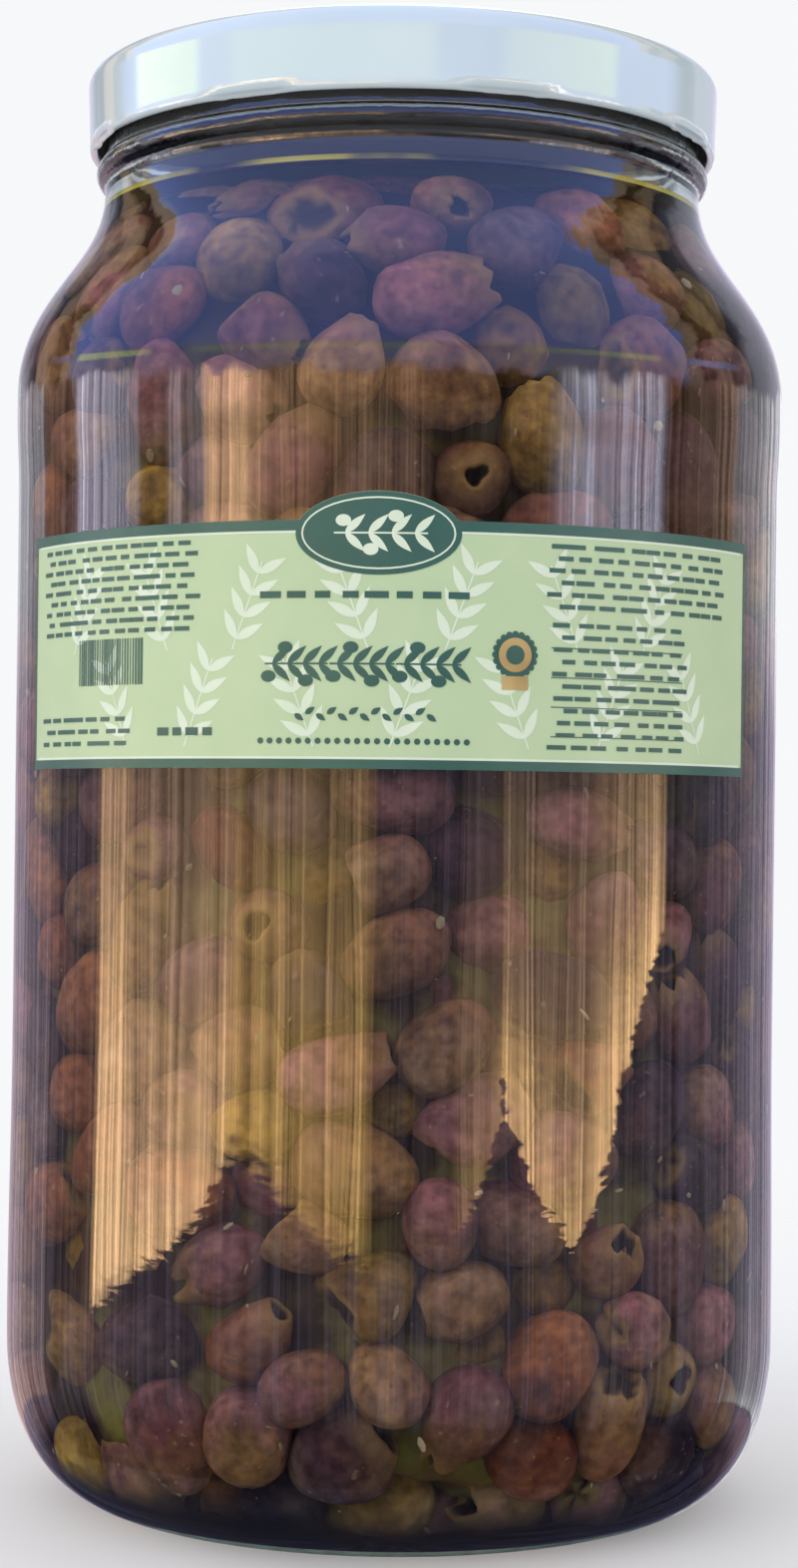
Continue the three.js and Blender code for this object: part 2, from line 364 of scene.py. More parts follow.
def oil_profile():
    """The oil: just into the glass, with the line where it climbs the wall, and a dished top."""
    wall = [place for place in inner_wall(24, OIL_INTO_GLASS) if place[1] < OIL_TOP - OIL_WALL_END]
    edge = wall[-1][0]
    rim = edge - MENISCUS_LEAN
    line_foot = (edge - OIL_LINE_LEAN, OIL_TOP + OIL_LINE_FOOT)
    shares = np.linspace(0, 1, 9)
    bowl = [(rim - MENISCUS_WIDTH * t, OIL_TOP + MENISCUS_RISE * (1 - t) ** 2) for t in shares]
    return [*wall, line_foot, *bowl, (edge / 2, OIL_TOP), (0.0, OIL_TOP)]


def lid_profile():
    """The lid's sheet, from under its middle out to the rolled edge and back over the top."""
    panel_top = LID_TOP - LID_PANEL_DROP
    inner = LID_RADIUS - LID_SHEET
    skirt_bottom = LID_RADIUS - LID_TAPER
    under = LID_TOP - LID_SHEET
    step_in, step_out = LID_PANEL_EDGE - LID_PANEL_STEP, LID_PANEL_EDGE + LID_PANEL_STEP
    half = CURL_HEIGHT / 2
    curl = skirt_bottom - CURL_DEPTH / 2
    curl_top = LID_BOTTOM + CURL_HEIGHT
    skirt_start = (skirt_bottom, curl_top + CURL_FILLET)
    skirt_end = (LID_RADIUS, LID_TOP - LID_CORNER)
    return [
        (0.0, panel_top - LID_SHEET),
        (LID_PANEL_EDGE / 2, panel_top - LID_SHEET),
        *soft_step((step_in, panel_top - LID_SHEET), (step_out, under), 6, False),
        (inner - LID_CORNER, under),
        *round_curve(inner - LID_CORNER, under - LID_CORNER, LID_CORNER, LID_CORNER, 80, 0, 6),
        *straight((inner, under - LID_CORNER), (inner - LID_TAPER, curl_top + CURL_INNER_FILLET), 5),
        (inner - LID_TAPER, curl_top + CURL_INNER_FILLET),
        *round_curve(curl, LID_BOTTOM + half, CURL_DEPTH / 2, half, 150, 360, 14),
        skirt_start,
        *straight(skirt_start, skirt_end, 8),
        *round_curve(LID_RADIUS - LID_CORNER, LID_TOP - LID_CORNER, LID_CORNER, LID_CORNER, 0, 90, 10),
        (LID_RADIUS - LID_CORNER - LID_LAND, LID_TOP),
        *soft_step((step_out, LID_TOP), (step_in, panel_top), 6, False),
        (LID_PANEL_EDGE / 2, panel_top),
        (0.0, panel_top),
    ]


def core_profile():
    """The cloudy core, set in from the wall of the jar."""
    wall = inner_wall(20)
    core = [(max(0.0, r - CORE_INSET), max(z, BASE_THICKNESS + CORE_INSET)) for r, z in wall]
    top = HEAP_TOP - CORE_TOP_INSET
    return [*[place for place in core if place[1] < top], (core[-1][0], top), (0.0, top)]


# Node trees

def add_node(tree, kind, values=(), **settings):
    """Adds a node with its settings, and fills inputs from pairs of a key and a value or socket."""
    node = tree.nodes.new(kind)
    for name, value in settings.items():
        setattr(node, name, value)
    for key, value in values:
        fill(tree, node.inputs[key], value)
    return node


def fill(tree, socket, value):
    """Links a socket to another, or sets its own value."""
    if isinstance(value, bpy.types.NodeSocket):
        tree.links.new(value, socket)
    else:
        socket.default_value = value


def maths(tree, operation, *values):
    """One step of arithmetic on sockets and numbers."""
    return add_node(tree, "ShaderNodeMath", list(enumerate(values)), operation=operation).outputs[0]


def plus(tree, first, second):
    """The sum of two sockets or numbers."""
    return maths(tree, "ADD", first, second)


def minus(tree, first, second):
    """What is left of the first without the second."""
    return maths(tree, "SUBTRACT", first, second)


def times(tree, first, second):
    """The product of two sockets or numbers."""
    return maths(tree, "MULTIPLY", first, second)


def over(tree, first, second):
    """The first divided by the second."""
    return maths(tree, "DIVIDE", first, second)


def vector(tree, x=0.0, y=0.0, z=0.0):
    """A place from its three numbers."""
    return add_node(tree, "ShaderNodeCombineXYZ", [(0, x), (1, y), (2, z)]).outputs[0]


def split(tree, place):
    """A place's three numbers, by the name of their axis."""
    return add_node(tree, "ShaderNodeSeparateXYZ", [(0, place)]).outputs


def shifted(tree, geometry, kind, way):
    """Moves points to a position, or by an offset."""
    return add_node(tree, "GeometryNodeSetPosition", [("Geometry", geometry), (kind, way)]).outputs[0]


def end_tree(tree, geometry, given, made):
    """Ends a geometry tree: makes copies real and gives the mesh its finish."""
    real = add_node(tree, "GeometryNodeRealizeInstances", [("Geometry", geometry)]).outputs[0]
    values = [("Geometry", real), ("Material", given.outputs["Finish"])]
    tree.links.new(add_node(tree, "GeometryNodeSetMaterial", values).outputs[0], made.inputs["Mesh"])


def linked(name, mesh):
    """Puts a mesh in the scene as an object at the origin."""
    piece = bpy.data.objects.new(name, mesh)
    bpy.context.collection.objects.link(piece)
    return piece


def new_tree(name, inputs):
    """A geometry tree with a mesh input, named inputs for sizes, and a mesh output."""
    tree = bpy.data.node_groups.new(name, "GeometryNodeTree")
    tree.interface.new_socket("Mesh", in_out="INPUT", socket_type="NodeSocketGeometry")
    for label, kind in inputs:
        tree.interface.new_socket(label, in_out="INPUT", socket_type="NodeSocket" + kind)
    tree.interface.new_socket("Mesh", in_out="OUTPUT", socket_type="NodeSocketGeometry")
    return tree, tree.nodes.new("NodeGroupInput"), tree.nodes.new("NodeGroupOutput")


def grown(name, tree, mesh, settings):
    """Runs a geometry tree on a mesh and returns the result as a plain mesh object."""
    source = linked(name + "_source", mesh)
    modifier = source.modifiers.new("shape", "NODES")
    modifier.node_group = tree
    for item in tree.interface.items_tree:
        if item.in_out == "INPUT" and item.name in settings:
            modifier[item.identifier] = settings[item.name]
    bpy.context.view_layer.update()
    result = source.evaluated_get(bpy.context.evaluated_depsgraph_get())
    plain = bpy.data.meshes.new_from_object(result)
    plain.name = name
    plain.materials.clear()
    plain.materials.append(settings["Finish"])
    plain.polygons.foreach_set("material_index", np.zeros(len(plain.polygons), dtype=np.int32))
    bpy.data.objects.remove(source)
    return linked(name, plain)


def turning_tree():
    """Turns a row of points, the profile, about the Z axis."""
    tree, given, made = new_tree("turned profile", [("Sides", "Int"), ("Finish", "Material")])
    profile, sides = given.outputs["Mesh"], given.outputs["Sides"]
    rows = add_node(tree, "GeometryNodeAttributeDomainSize", [("Geometry", profile)]).outputs["Point Count"]
    columns = plus(tree, sides, 1.0)
    grid = add_node(tree, "GeometryNodeMeshGrid", [("Vertices X", columns), ("Vertices Y", rows)])
    index = tree.nodes.new("GeometryNodeInputIndex").outputs[0]
    row = maths(tree, "MODULO", index, rows)
    column = maths(tree, "FLOOR", over(tree, index, rows))
    place = tree.nodes.new("GeometryNodeInputPosition").outputs[0]
    picked = add_node(tree, "GeometryNodeSampleIndex", data_type="FLOAT_VECTOR")
    tree.links.new(profile, picked.inputs["Geometry"])
    tree.links.new(place, next(s for s in picked.inputs if s.name == "Value" and s.enabled))
    tree.links.new(row, picked.inputs["Index"])
    spot = split(tree, next(s for s in picked.outputs if s.enabled))
    angle = times(tree, over(tree, column, sides), math.tau)
    across = times(tree, spot["X"], maths(tree, "SINE", angle))
    depth = times(tree, spot["X"], maths(tree, "COSINE", angle))
    way = vector(tree, across, times(tree, depth, -1.0), spot["Z"])
    turned = shifted(tree, grid.outputs["Mesh"], "Position", way)
    values = [("Geometry", turned), ("Distance", MERGE_DISTANCE)]
    whole = add_node(tree, "GeometryNodeMergeByDistance", values)
    smooth = add_node(tree, "GeometryNodeSetShadeSmooth", [("Geometry", whole.outputs[0])])
    end_tree(tree, smooth.outputs[0], given, made)
    return tree


def corner_places(mesh):
    """A mesh's corners as rows of an array."""
    places = np.empty(len(mesh.vertices) * 3)
    mesh.vertices.foreach_get("co", places)
    return places.reshape(-1, 3)


def face_outwards(mesh):
    """Turns a closed mesh's faces round if its volume comes out negative."""
    corners = corner_places(mesh)
    mesh.calc_loop_triangles()
    triangles = np.empty(len(mesh.loop_triangles) * 3, dtype=int)
    mesh.loop_triangles.foreach_get("vertices", triangles)
    a, b, c = (corners[triangles.reshape(-1, 3)[:, i]] for i in range(3))
    if np.einsum("ij,ij->", a, np.cross(b, c)) < 0:
        mesh.flip_normals()


def turned_piece(name, tree, profile, finish, sides=JAR_SIDES):
    """A piece made by turning a profile, with its faces pointing outwards."""
    mesh = bpy.data.meshes.new(name + "_profile")
    mesh.from_pydata([(r * MM, 0, z * MM) for r, z in profile], [], [])
    piece = grown(name, tree, mesh, {"Sides": sides, "Finish": finish})
    face_outwards(piece.data)
    return piece


# Finishes

def new_finish(name):
    """A material with one shader, and its tree, shader and output."""
    finish = bpy.data.materials.new(name)
    finish.use_nodes = True
    tree = finish.node_tree
    tree.nodes.clear()
    output = tree.nodes.new("ShaderNodeOutputMaterial")
    shader = tree.nodes.new("ShaderNodeBsdfPrincipled")
    tree.links.new(shader.outputs["BSDF"], output.inputs["Surface"])
    return finish, tree, shader, output


def own_place(tree):
    """A point's place on its piece."""
    return tree.nodes.new("ShaderNodeTexCoord").outputs["Object"]


def noise(tree, scale, detail=3.0, stretch=(1, 1, 1)):
    """Noise on the piece's own coordinates, between 0 and 1."""
    mapped = add_node(tree, "ShaderNodeMapping", [("Vector", own_place(tree)), ("Scale", stretch)])
    values = [("Vector", mapped.outputs[0]), ("Scale", scale), ("Detail", detail)]
    return add_node(tree, "ShaderNodeTexNoise", values).outputs["Fac"]


def ramp(tree, share, stops):
    """Colours, or single numbers for greys, at places along a share from 0 to 1."""
    node = add_node(tree, "ShaderNodeValToRGB", [("Fac", share)])
    stripes = node.color_ramp.elements
    while len(stripes) < len(stops):
        stripes.new(0.5)
    for stripe, (place, colour) in zip(stripes, stops):
        stripe.position = place
        stripe.color = (*colour, 1) if isinstance(colour, tuple) else (colour, colour, colour, 1)
    return node.outputs["Color"]


def blend(tree, share, first, second, kind="MIX"):
    """Mixes two colours by a share."""
    node = tree.nodes.new("ShaderNodeMix")
    node.data_type = "RGBA"
    node.blend_type = kind
    fill(tree, node.inputs[0], share)
    for socket, colour in ((node.inputs[6], first), (node.inputs[7], second)):
        fill(tree, socket, colour if isinstance(colour, bpy.types.NodeSocket) else (*colour, 1))
    return node.outputs[2]


def bump(tree, shader, height, strength, distance):
    """Gives a shader the small relief of a height."""
    values = [("Height", height), ("Strength", strength), ("Distance", distance)]
    node = add_node(tree, "ShaderNodeBump", values)
    tree.links.new(node.outputs[0], shader.inputs["Normal"])


def two_tone(tree, scale, detail, ends, first, second):
    """Noise that goes from one colour or grey to another between two of its levels."""
    return ramp(tree, noise(tree, scale, detail), [(ends[0], first), (ends[1], second)])


def set_sockets(tree, shader, values):
    """Fills a shader's sockets by name."""
    for name, value in values.items():
        fill(tree, shader.inputs[name], value)


def absorb(tree, output, colour, density):
    """Tints the light that goes through a clear body."""
    body = add_node(tree, "ShaderNodeVolumeAbsorption", [("Color", (*colour, 1)), ("Density", density)])
    tree.links.new(body.outputs[0], output.inputs["Volume"])


def glass_finish(name, wet):
    """Clear soda glass with the draw lines of a moulded wall. Where oil wets it, light goes straight on."""
    finish, tree, shader, output = new_finish(name)
    set_sockets(tree, shader, {
        "Base Color": (0.99, 0.995, 0.99, 1),
        "Roughness": 0.0,
        "IOR": WET_IOR if wet else GLASS_IOR,
        "Transmission Weight": 1.0,
    })
    if not wet:
        lines = noise(tree, 42.0, 2.0, stretch=(1, 1, 0.14))
        height = split(tree, own_place(tree))["Z"]
        on_bead = maths(tree, "GREATER_THAN", height, (NECK_BASE + BEAD_FOOT) * MM)
        ripple = times(tree, on_bead, noise(tree, 190.0, 3.0))
        bump(tree, shader, plus(tree, lines, times(tree, ripple, 0.8)), 0.3, 0.0010)
    absorb(tree, output, GLASS_TINT, GLASS_DENSITY)
    return finish


def oil_finish(name, wet):
    """Golden oil. Its side lies on the glass, so light goes straight on there."""
    finish, tree, shader, output = new_finish(name)
    set_sockets(tree, shader, {
        "Base Color": (1, 1, 1, 1),
        "Roughness": 0.0,
        "IOR": WET_IOR if wet else OIL_IOR,
        "Transmission Weight": 1.0,
    })
    absorb(tree, output, OIL_TINT, OIL_DENSITY)
    return finish


def oil_line_glint_finish():
    """The line of oil that climbs the glass: the oil's yellow brightened into a painted highlight, broken
    by painted shade where the light misses it.
    """
    finish, tree, shader, _ = new_finish("oil_line_painted_glint")
    # Painted highlight: the line's bright yellow, with painted dark where it breaks.
    colour = ramp(tree, noise(tree, 26.0, 3.0), [
        (0.44, (0.05, 0.055, 0.075)),
        (0.5, (0.62, 0.50, 0.05)),
        (0.7, (0.75, 0.64, 0.16)),
    ])
    set_sockets(tree, shader, {"Base Color": colour, "Roughness": 0.3})
    return finish


def painted_foot_shade_finish():
    """Painted shade: a dark band round the foot of the heap, standing in for the shade and dark reflections
    of the thick glass base, thinning out upwards.
    """
    finish, tree, shader, _ = new_finish("painted_foot_shade")
    height = split(tree, own_place(tree))["Z"]
    ragged = plus(tree, height, times(tree, noise(tree, 60.0, 4.0), 0.006))
    set_sockets(tree, shader, {
        "Base Color": two_tone(tree, 70.0, 3.0, (0.35, 0.7), (0.012, 0.012, 0.022), (0.035, 0.022, 0.024)),
        "Alpha": ramp(tree, times(tree, ragged, 40.0), [(0.44, 0.97), (0.62, 0.0)]),
        "Roughness": 0.7,
        "Specular IOR Level": 0.1,
    })
    return finish


def clouded_finish(name, cloud, dark, light, sockets, relief=None):
    """Two tones clouded by noise, with other sockets by name and perhaps a fine relief."""
    finish, tree, shader, _ = new_finish(name)
    set_sockets(tree, shader, {"Base Color": two_tone(tree, *cloud, dark, light), **sockets})
    if relief:
        scale, strength, distance = relief
        bump(tree, shader, noise(tree, scale, 2.0), strength, distance)
    return finish


def foot_finish():
    """The stippled ring that the jar stands on."""
    cloud, stipple = (300.0, 3.0, (0.3, 0.7)), (1400.0, 0.3, 0.0003)
    tones = (0.10, 0.16, 0.12), (0.24, 0.34, 0.27)
    return clouded_finish("stippled_foot", cloud, *tones, {"Roughness": 0.4}, stipple)


def lid_finish():
    """White lacquer on tinplate: faintly clouded, and smooth under a clear coat. Its blue-grey tint is
    painted light, standing in for the cool light on the lid.
    """
    finish, tree, shader, _ = new_finish("white_lacquer")
    set_sockets(tree, shader, {
        # Painted light: the white is tinted blue-grey for the cool light on the lid; the faint clouding is
        # the lacquer's own.
        "Base Color": two_tone(tree, 40.0, 4.0, (0.3, 0.7), (0.55, 0.655, 0.70), (0.60, 0.70, 0.745)),
        "Roughness": two_tone(tree, 260.0, 3.0, (0.3, 0.75), 0.06, 0.12),
        "Coat Weight": 1.0,
        "Coat Roughness": 0.03,
    })
    bump(tree, shader, noise(tree, 900.0, 2.0), 0.06, 0.0002)
    return finish


def liner_finish():
    """The sealing compound inside the lid, its colour painted dark as painted shade for the shade it lies
    in over the neck.
    """
    tones = (0.045, 0.043, 0.05), (0.075, 0.07, 0.075)
    return clouded_finish("lid_liner_painted_shade", (90.0, 3.0, (0.3, 0.7)), *tones, {"Roughness": 0.5})


def paper_finish(name, dark, light, rough=0.42):
    """Printed paper: an even colour with the faint cloud and grain of the sheet."""
    cloud, grain = (120.0, 5.0, (0.25, 0.75)), (2600.0, 0.08, 0.0001)
    return clouded_finish(name, cloud, dark, light, {"Roughness": rough, "Specular IOR Level": 0.35}, grain)


def olive_finish(name, skin, blush, speck):
    """Moist olive skin: a tone for each olive, a blush at one end, mottling, specks, torn flesh, and
    painted shade inside holes and cuts.
    """
    finish, tree, shader, _ = new_finish(name)
    tone, end, flesh, hole_shade = (
        add_node(tree, "ShaderNodeAttribute", attribute_name=own).outputs["Fac"]
        for own in ("tone", "end", "flesh", "hole_shade")
    )
    stray = times(tree, minus(tree, noise(tree, 110.0, 4.0), 0.5), 1.6)
    base = ramp(tree, tone, list(zip((0.0, 0.5, 1.0), skin)))
    base = blend(tree, ramp(tree, plus(tree, end, stray), [(0.45, 0), (1.0, 0.85)]), base, blush)
    base = blend(tree, two_tone(tree, 75.0, 4.0, (0.45, 0.75), 0, 0.4), base, BLOOM)
    base = blend(tree, two_tone(tree, 120.0, 4.0, (0.5, 0.8), 0, 0.75), base, BRUISE)
    mottle = two_tone(tree, 420.0, 5.0, (0.3, 0.7), (0.6, 0.56, 0.58), (1.26, 1.22, 1.16))
    base = blend(tree, 1.0, base, mottle, "MULTIPLY")
    base = blend(tree, two_tone(tree, 620.0, 1.0, (0.70, 0.76), 0, 0.6), base, speck)
    base = blend(tree, flesh, base, FLESH)
    # Painted shade: the insides of stone holes and deep cuts go near black.
    base = blend(tree, hole_shade, base, HOLE_SHADE)
    set_sockets(tree, shader, {"Base Color": base, "Roughness": 0.55, "Specular IOR Level": 0.06})
    wrinkle = plus(tree, noise(tree, 170.0, 3.0), times(tree, noise(tree, 520.0, 4.0), 0.45))
    bump(tree, shader, wrinkle, 0.6, 0.0012)
    return finish


def murk_finish():
    """Cloudy oil deep in the heap: green where it is clear of olives, plum where their colour has run, and
    darkened towards the top as painted shade from the lid.
    """
    finish, tree, shader, _ = new_finish("cloudy_oil")
    colour = ramp(tree, noise(tree, 55.0, 5.0), [
        (0.36, (0.06, 0.026, 0.035)),
        (0.47, (0.15, 0.09, 0.05)),
        (0.56, (0.33, 0.27, 0.10)),
        (0.7, (0.22, 0.13, 0.07)),
    ])
    # Painted shade: the core turns near black towards its top, standing in for the shade under the lid.
    height = split(tree, own_place(tree))["Z"]
    shade = ramp(tree, times(tree, height, 4.0), [(0.7, 1), (0.82, (0.12, 0.12, 0.16))])
    set_sockets(tree, shader, {
        "Base Color": blend(tree, 1.0, colour, shade, "MULTIPLY"),
        "Roughness": 0.8,
        "Specular IOR Level": 0.0,
    })
    bump(tree, shader, noise(tree, 400.0, 3.0), 0.3, 0.0006)
    return finish


# Label and its print

def printing_tree():
    """Repeats a flat shape in rows and wraps the rows round the label."""
    sizes = ["Width", "Height", "Stagger", "Stray", "Turn", "Least", "Most", "Along", "Up", "Radius"]
    inputs = [("Columns", "Int"), ("Rows", "Int"), ("Seed", "Int"), ("Finish", "Material")]
    tree, given, made = new_tree("printed rows", inputs + [(size, "Float") for size in sizes])
    value = given.outputs
    columns, rows, radius = value["Columns"], value["Rows"], value["Radius"]
    line = add_node(tree, "GeometryNodeMeshLine", [("Count", times(tree, columns, rows))])
    index = tree.nodes.new("GeometryNodeInputIndex").outputs[0]
    column = maths(tree, "MODULO", index, columns)
    row = maths(tree, "FLOOR", over(tree, index, columns))
    odd = maths(tree, "MODULO", row, 2.0)
    stray = chance(tree, times(tree, value["Stray"], -1.0), value["Stray"], value["Seed"])
    shift = plus(tree, times(tree, odd, value["Stagger"]), stray)
    cell = plus(tree, plus(tree, column, 0.5), shift)
    across = minus(tree, over(tree, cell, columns), 0.5)
    up = minus(tree, 0.5, over(tree, plus(tree, row, 0.5), rows))
    spot = vector(tree, times(tree, across, value["Width"]), times(tree, up, value["Height"]))
    length = chance(tree, value["Least"], value["Most"], plus(tree, value["Seed"], 1.0))
    side = minus(tree, times(tree, maths(tree, "MODULO", index, 2.0), 2.0), 1.0)
    copies = add_node(tree, "GeometryNodeInstanceOnPoints", [
        ("Points", shifted(tree, line.outputs[0], "Position", spot)),
        ("Instance", value["Mesh"]),
        ("Rotation", vector(tree, z=times(tree, side, value["Turn"]))),
        ("Scale", vector(tree, length, 1.0, 1.0)),
    ])
    real = add_node(tree, "GeometryNodeRealizeInstances", [("Geometry", copies.outputs[0])]).outputs[0]
    flat = split(tree, tree.nodes.new("GeometryNodeInputPosition").outputs[0])
    angle = over(tree, plus(tree, flat["X"], value["Along"]), radius)
    reach = plus(tree, radius, flat["Z"])
    wrapped = vector(
        tree,
        times(tree, reach, maths(tree, "SINE", angle)),
        times(tree, times(tree, reach, maths(tree, "COSINE", angle)), -1.0),
        plus(tree, flat["Y"], value["Up"]),
    )
    end_tree(tree, shifted(tree, real, "Position", wrapped), given, made)
    return tree


def chance(tree, least, most, seed):
    """A random number for each point."""
    node = tree.nodes.new("FunctionNodeRandomValue")
    node.data_type = "FLOAT"
    ends = [socket for socket in node.inputs if socket.enabled and socket.name in ("Min", "Max")]
    fill(tree, ends[0], least)
    fill(tree, ends[1], most)
    fill(tree, node.inputs["Seed"], seed)
    return next(socket for socket in node.outputs if socket.enabled)


def slab(columns, thickness=INK_THICKNESS):
    """A thin closed flat shape from columns of (x, low, high): its corners and faces."""
    count = len(columns)
    low = [(x, bottom) for x, bottom, _ in columns]
    high = [(x, top) for x, _, top in columns]
    corners = [(x, y, thickness) for x, y in low + high] + [(x, y, 0.0) for x, y in low + high]
    back = 2 * count
    faces = []
    for i in range(count - 1):
        a, b, c, d = i, i + 1, count + i + 1, count + i
        faces += [
            (a, b, c, d),
            (back + d, back + c, back + b, back + a),
            (a, back + a, back + b, b),
            (d, c, back + c, back + d),
        ]
    end = count - 1
    faces.append((0, count, back + count, back))
    faces.append((end, back + end, back + count + end, count + end))
    return corners, faces


def joined(slabs):
    """Several flat shapes as one."""
    corners, faces = [], []
    for places, sides in slabs:
        faces += [tuple(len(corners) + i for i in side) for side in sides]
        corners += places
    return corners, faces


def wrapped_mesh(name, shapes, radius):
    """A mesh of flat shapes wrapped round the label at a radius."""
    corners, faces = joined(shapes)
    mesh = bpy.data.meshes.new(name)
    mesh.from_pydata([on_label(x, y, radius + z) for x, y, z in corners], [], faces)
    return mesh


def on_label(along, height, radius):
    """A place on the label in metres, from millimetres along and up it."""
    angle = along / LABEL_FRONT
    return (radius * math.sin(angle) * MM, -radius * math.cos(angle) * MM, height * MM)


def oval_columns(centre, height, half_width, half_height, steps=24):
    """Columns of an oval, closer together towards its ends."""
    columns = []
    for angle in np.linspace(math.pi, 0, steps + 1):
        rise = half_height * math.sin(angle) + 1e-4
        columns.append((centre + half_width * math.cos(angle), height - rise, height + rise))
    return columns


def leaf_columns(length, width, steps=10):
    """A pointed leaf along X from 0 to its length."""
    columns = []
    for t in np.linspace(0, 1, steps + 1):
        half = width / 2 * math.sin(math.pi * t ** 0.8) + 1e-3
        columns.append((length * t, -half, half))
    return columns


def ring_slabs(centre, height, half_width, half_height, line, steps=40):
    """A thin oval line, as short slabs round its middle."""
    parts = []
    angles = np.linspace(0, math.tau, steps + 1)
    for start, end in zip(angles[:-1], angles[1:]):
        ring = []
        for a, size in ((start, 1), (end, 1), (end, 0), (start, 0)):
            x = centre + (half_width - line * (1 - size)) * math.cos(a)
            y = height + (half_height - line * (1 - size)) * math.sin(a)
            ring.append((x, y))
        corners = [(x, y, INK_THICKNESS) for x, y in ring] + [(x, y, 0.0) for x, y in ring]
        faces = [(0, 1, 2, 3), (7, 6, 5, 4), (0, 4, 5, 1), (1, 5, 6, 2), (2, 6, 7, 3), (3, 7, 4, 0)]
        parts.append((corners, faces))
    return parts


def moved(shape, turn=0.0, x=0.0, y=0.0):
    """A flat shape turned and moved."""
    corners, faces = shape
    cos, sin = math.cos(turn), math.sin(turn)
    return [(x + a * cos - b * sin, y + a * sin + b * cos, c) for a, b, c in corners], faces


def bar(width, height, steps=3):
    """A flat bar about its middle."""
    return slab([(x, -height / 2, height / 2) for x in np.linspace(-width / 2, width / 2, steps + 1)])


def sprig(length, leaf, olives):
    """A stalk along X about its middle, with leaves in pairs and olives at the places given."""
    stalk = [(t * length, -SPRIG_STALK, SPRIG_STALK) for t in np.linspace(0, 1, 9)]
    shapes = [moved(slab(stalk), x=-length / 2)]
    for t in np.linspace(*SPRIG_LEAVES, 4):
        for side in (1, -1):
            blade = slab(leaf_columns(leaf, leaf * LEAF_SLIMNESS))
            shapes.append(moved(blade, side * LEAF_LEAN, (t - 0.5) * length))
    for x, y in olives:
        shapes.append(moved(slab(oval_columns(0, 0, *SPRIG_OLIVE, 10)), x=x, y=y))
    return joined(shapes)


def label_edge(along):
    """The label's upper edge, which rises over the oval tab."""
    share = min(1.0, abs(along) / TAB_HALF_WIDTH)
    return max(LABEL_TOP, TAB_CENTRE + TAB_HALF_HEIGHT * math.sqrt(1 - share * share))


def label_sheet():
    """The paper, as columns cut to the outline and wrapped on the panel."""
    half = math.radians(LABEL_HALF_ANGLE) * LABEL_FRONT
    tab = TAB_HALF_WIDTH - TAB_EDGE
    places = sorted({*np.linspace(-half, half, LABEL_COLUMNS), *np.linspace(-tab, tab, TAB_COLUMNS)})
    columns = [(x, LABEL_BOTTOM, label_edge(x)) for x in places]
    return wrapped_mesh("label_paper", [slab(columns, LABEL_FRONT - LABEL_BACK)], LABEL_BACK)


def border_slabs(half, inset, top, bottom, side):
    """A frame round the label: its two long bands and its two ends."""
    low, high = LABEL_BOTTOM + inset, LABEL_TOP - inset
    places = np.linspace(-half + inset, half - inset, LABEL_COLUMNS)
    ends = [
        [(-half + inset, low, high), (-half + inset + side, low, high)],
        [(half - inset - side, low, high), (half - inset, low, high)],
    ]
    bands = [[(x, high - top, high) for x in places], [(x, low, low + bottom) for x in places]]
    return [slab(columns) for columns in bands + ends]


def printed(name, tree, shape, finish, **sizes):
    """Rows of a flat shape on the label, from sizes in millimetres."""
    corners, faces = shape
    mesh = bpy.data.meshes.new(name + "_shape")
    mesh.from_pydata([(x * MM, y * MM, z * MM) for x, y, z in corners], [], faces)
    lengths = ("Width", "Height", "Along", "Up", "Radius")
    start = {"Stagger": 0.0, "Stray": 0.0, "Turn": 0.0, "Least": 1.0, "Most": 1.0, "Seed": 0, "Rows": 1}
    settings = {**start, **{key: value * MM if key in lengths else value for key, value in sizes.items()}}
    return grown(name, tree, mesh, {**settings, "Finish": finish})


def merged(name, pieces, finish):
    """Joins finished pieces into one mesh with one finish."""
    corners, faces = [], []
    for piece in pieces:
        start = len(corners)
        corners += [tuple(corner.co) for corner in piece.data.vertices]
        faces += [tuple(start + i for i in face.vertices) for face in piece.data.polygons]
        bpy.data.objects.remove(piece)
    mesh = bpy.data.meshes.new(name)
    mesh.from_pydata(corners, [], faces)
    return finished(name, mesh, finish)


def finished(name, mesh, finish, crease=40.0):
    """A smooth piece with one finish, and creases where faces meet sharply."""
    mesh.materials.clear()
    mesh.materials.append(finish)
    mesh.polygons.foreach_set("use_smooth", np.ones(len(mesh.polygons), dtype=bool))
    mesh.set_sharp_from_angle(angle=math.radians(crease))
    return linked(name, mesh)


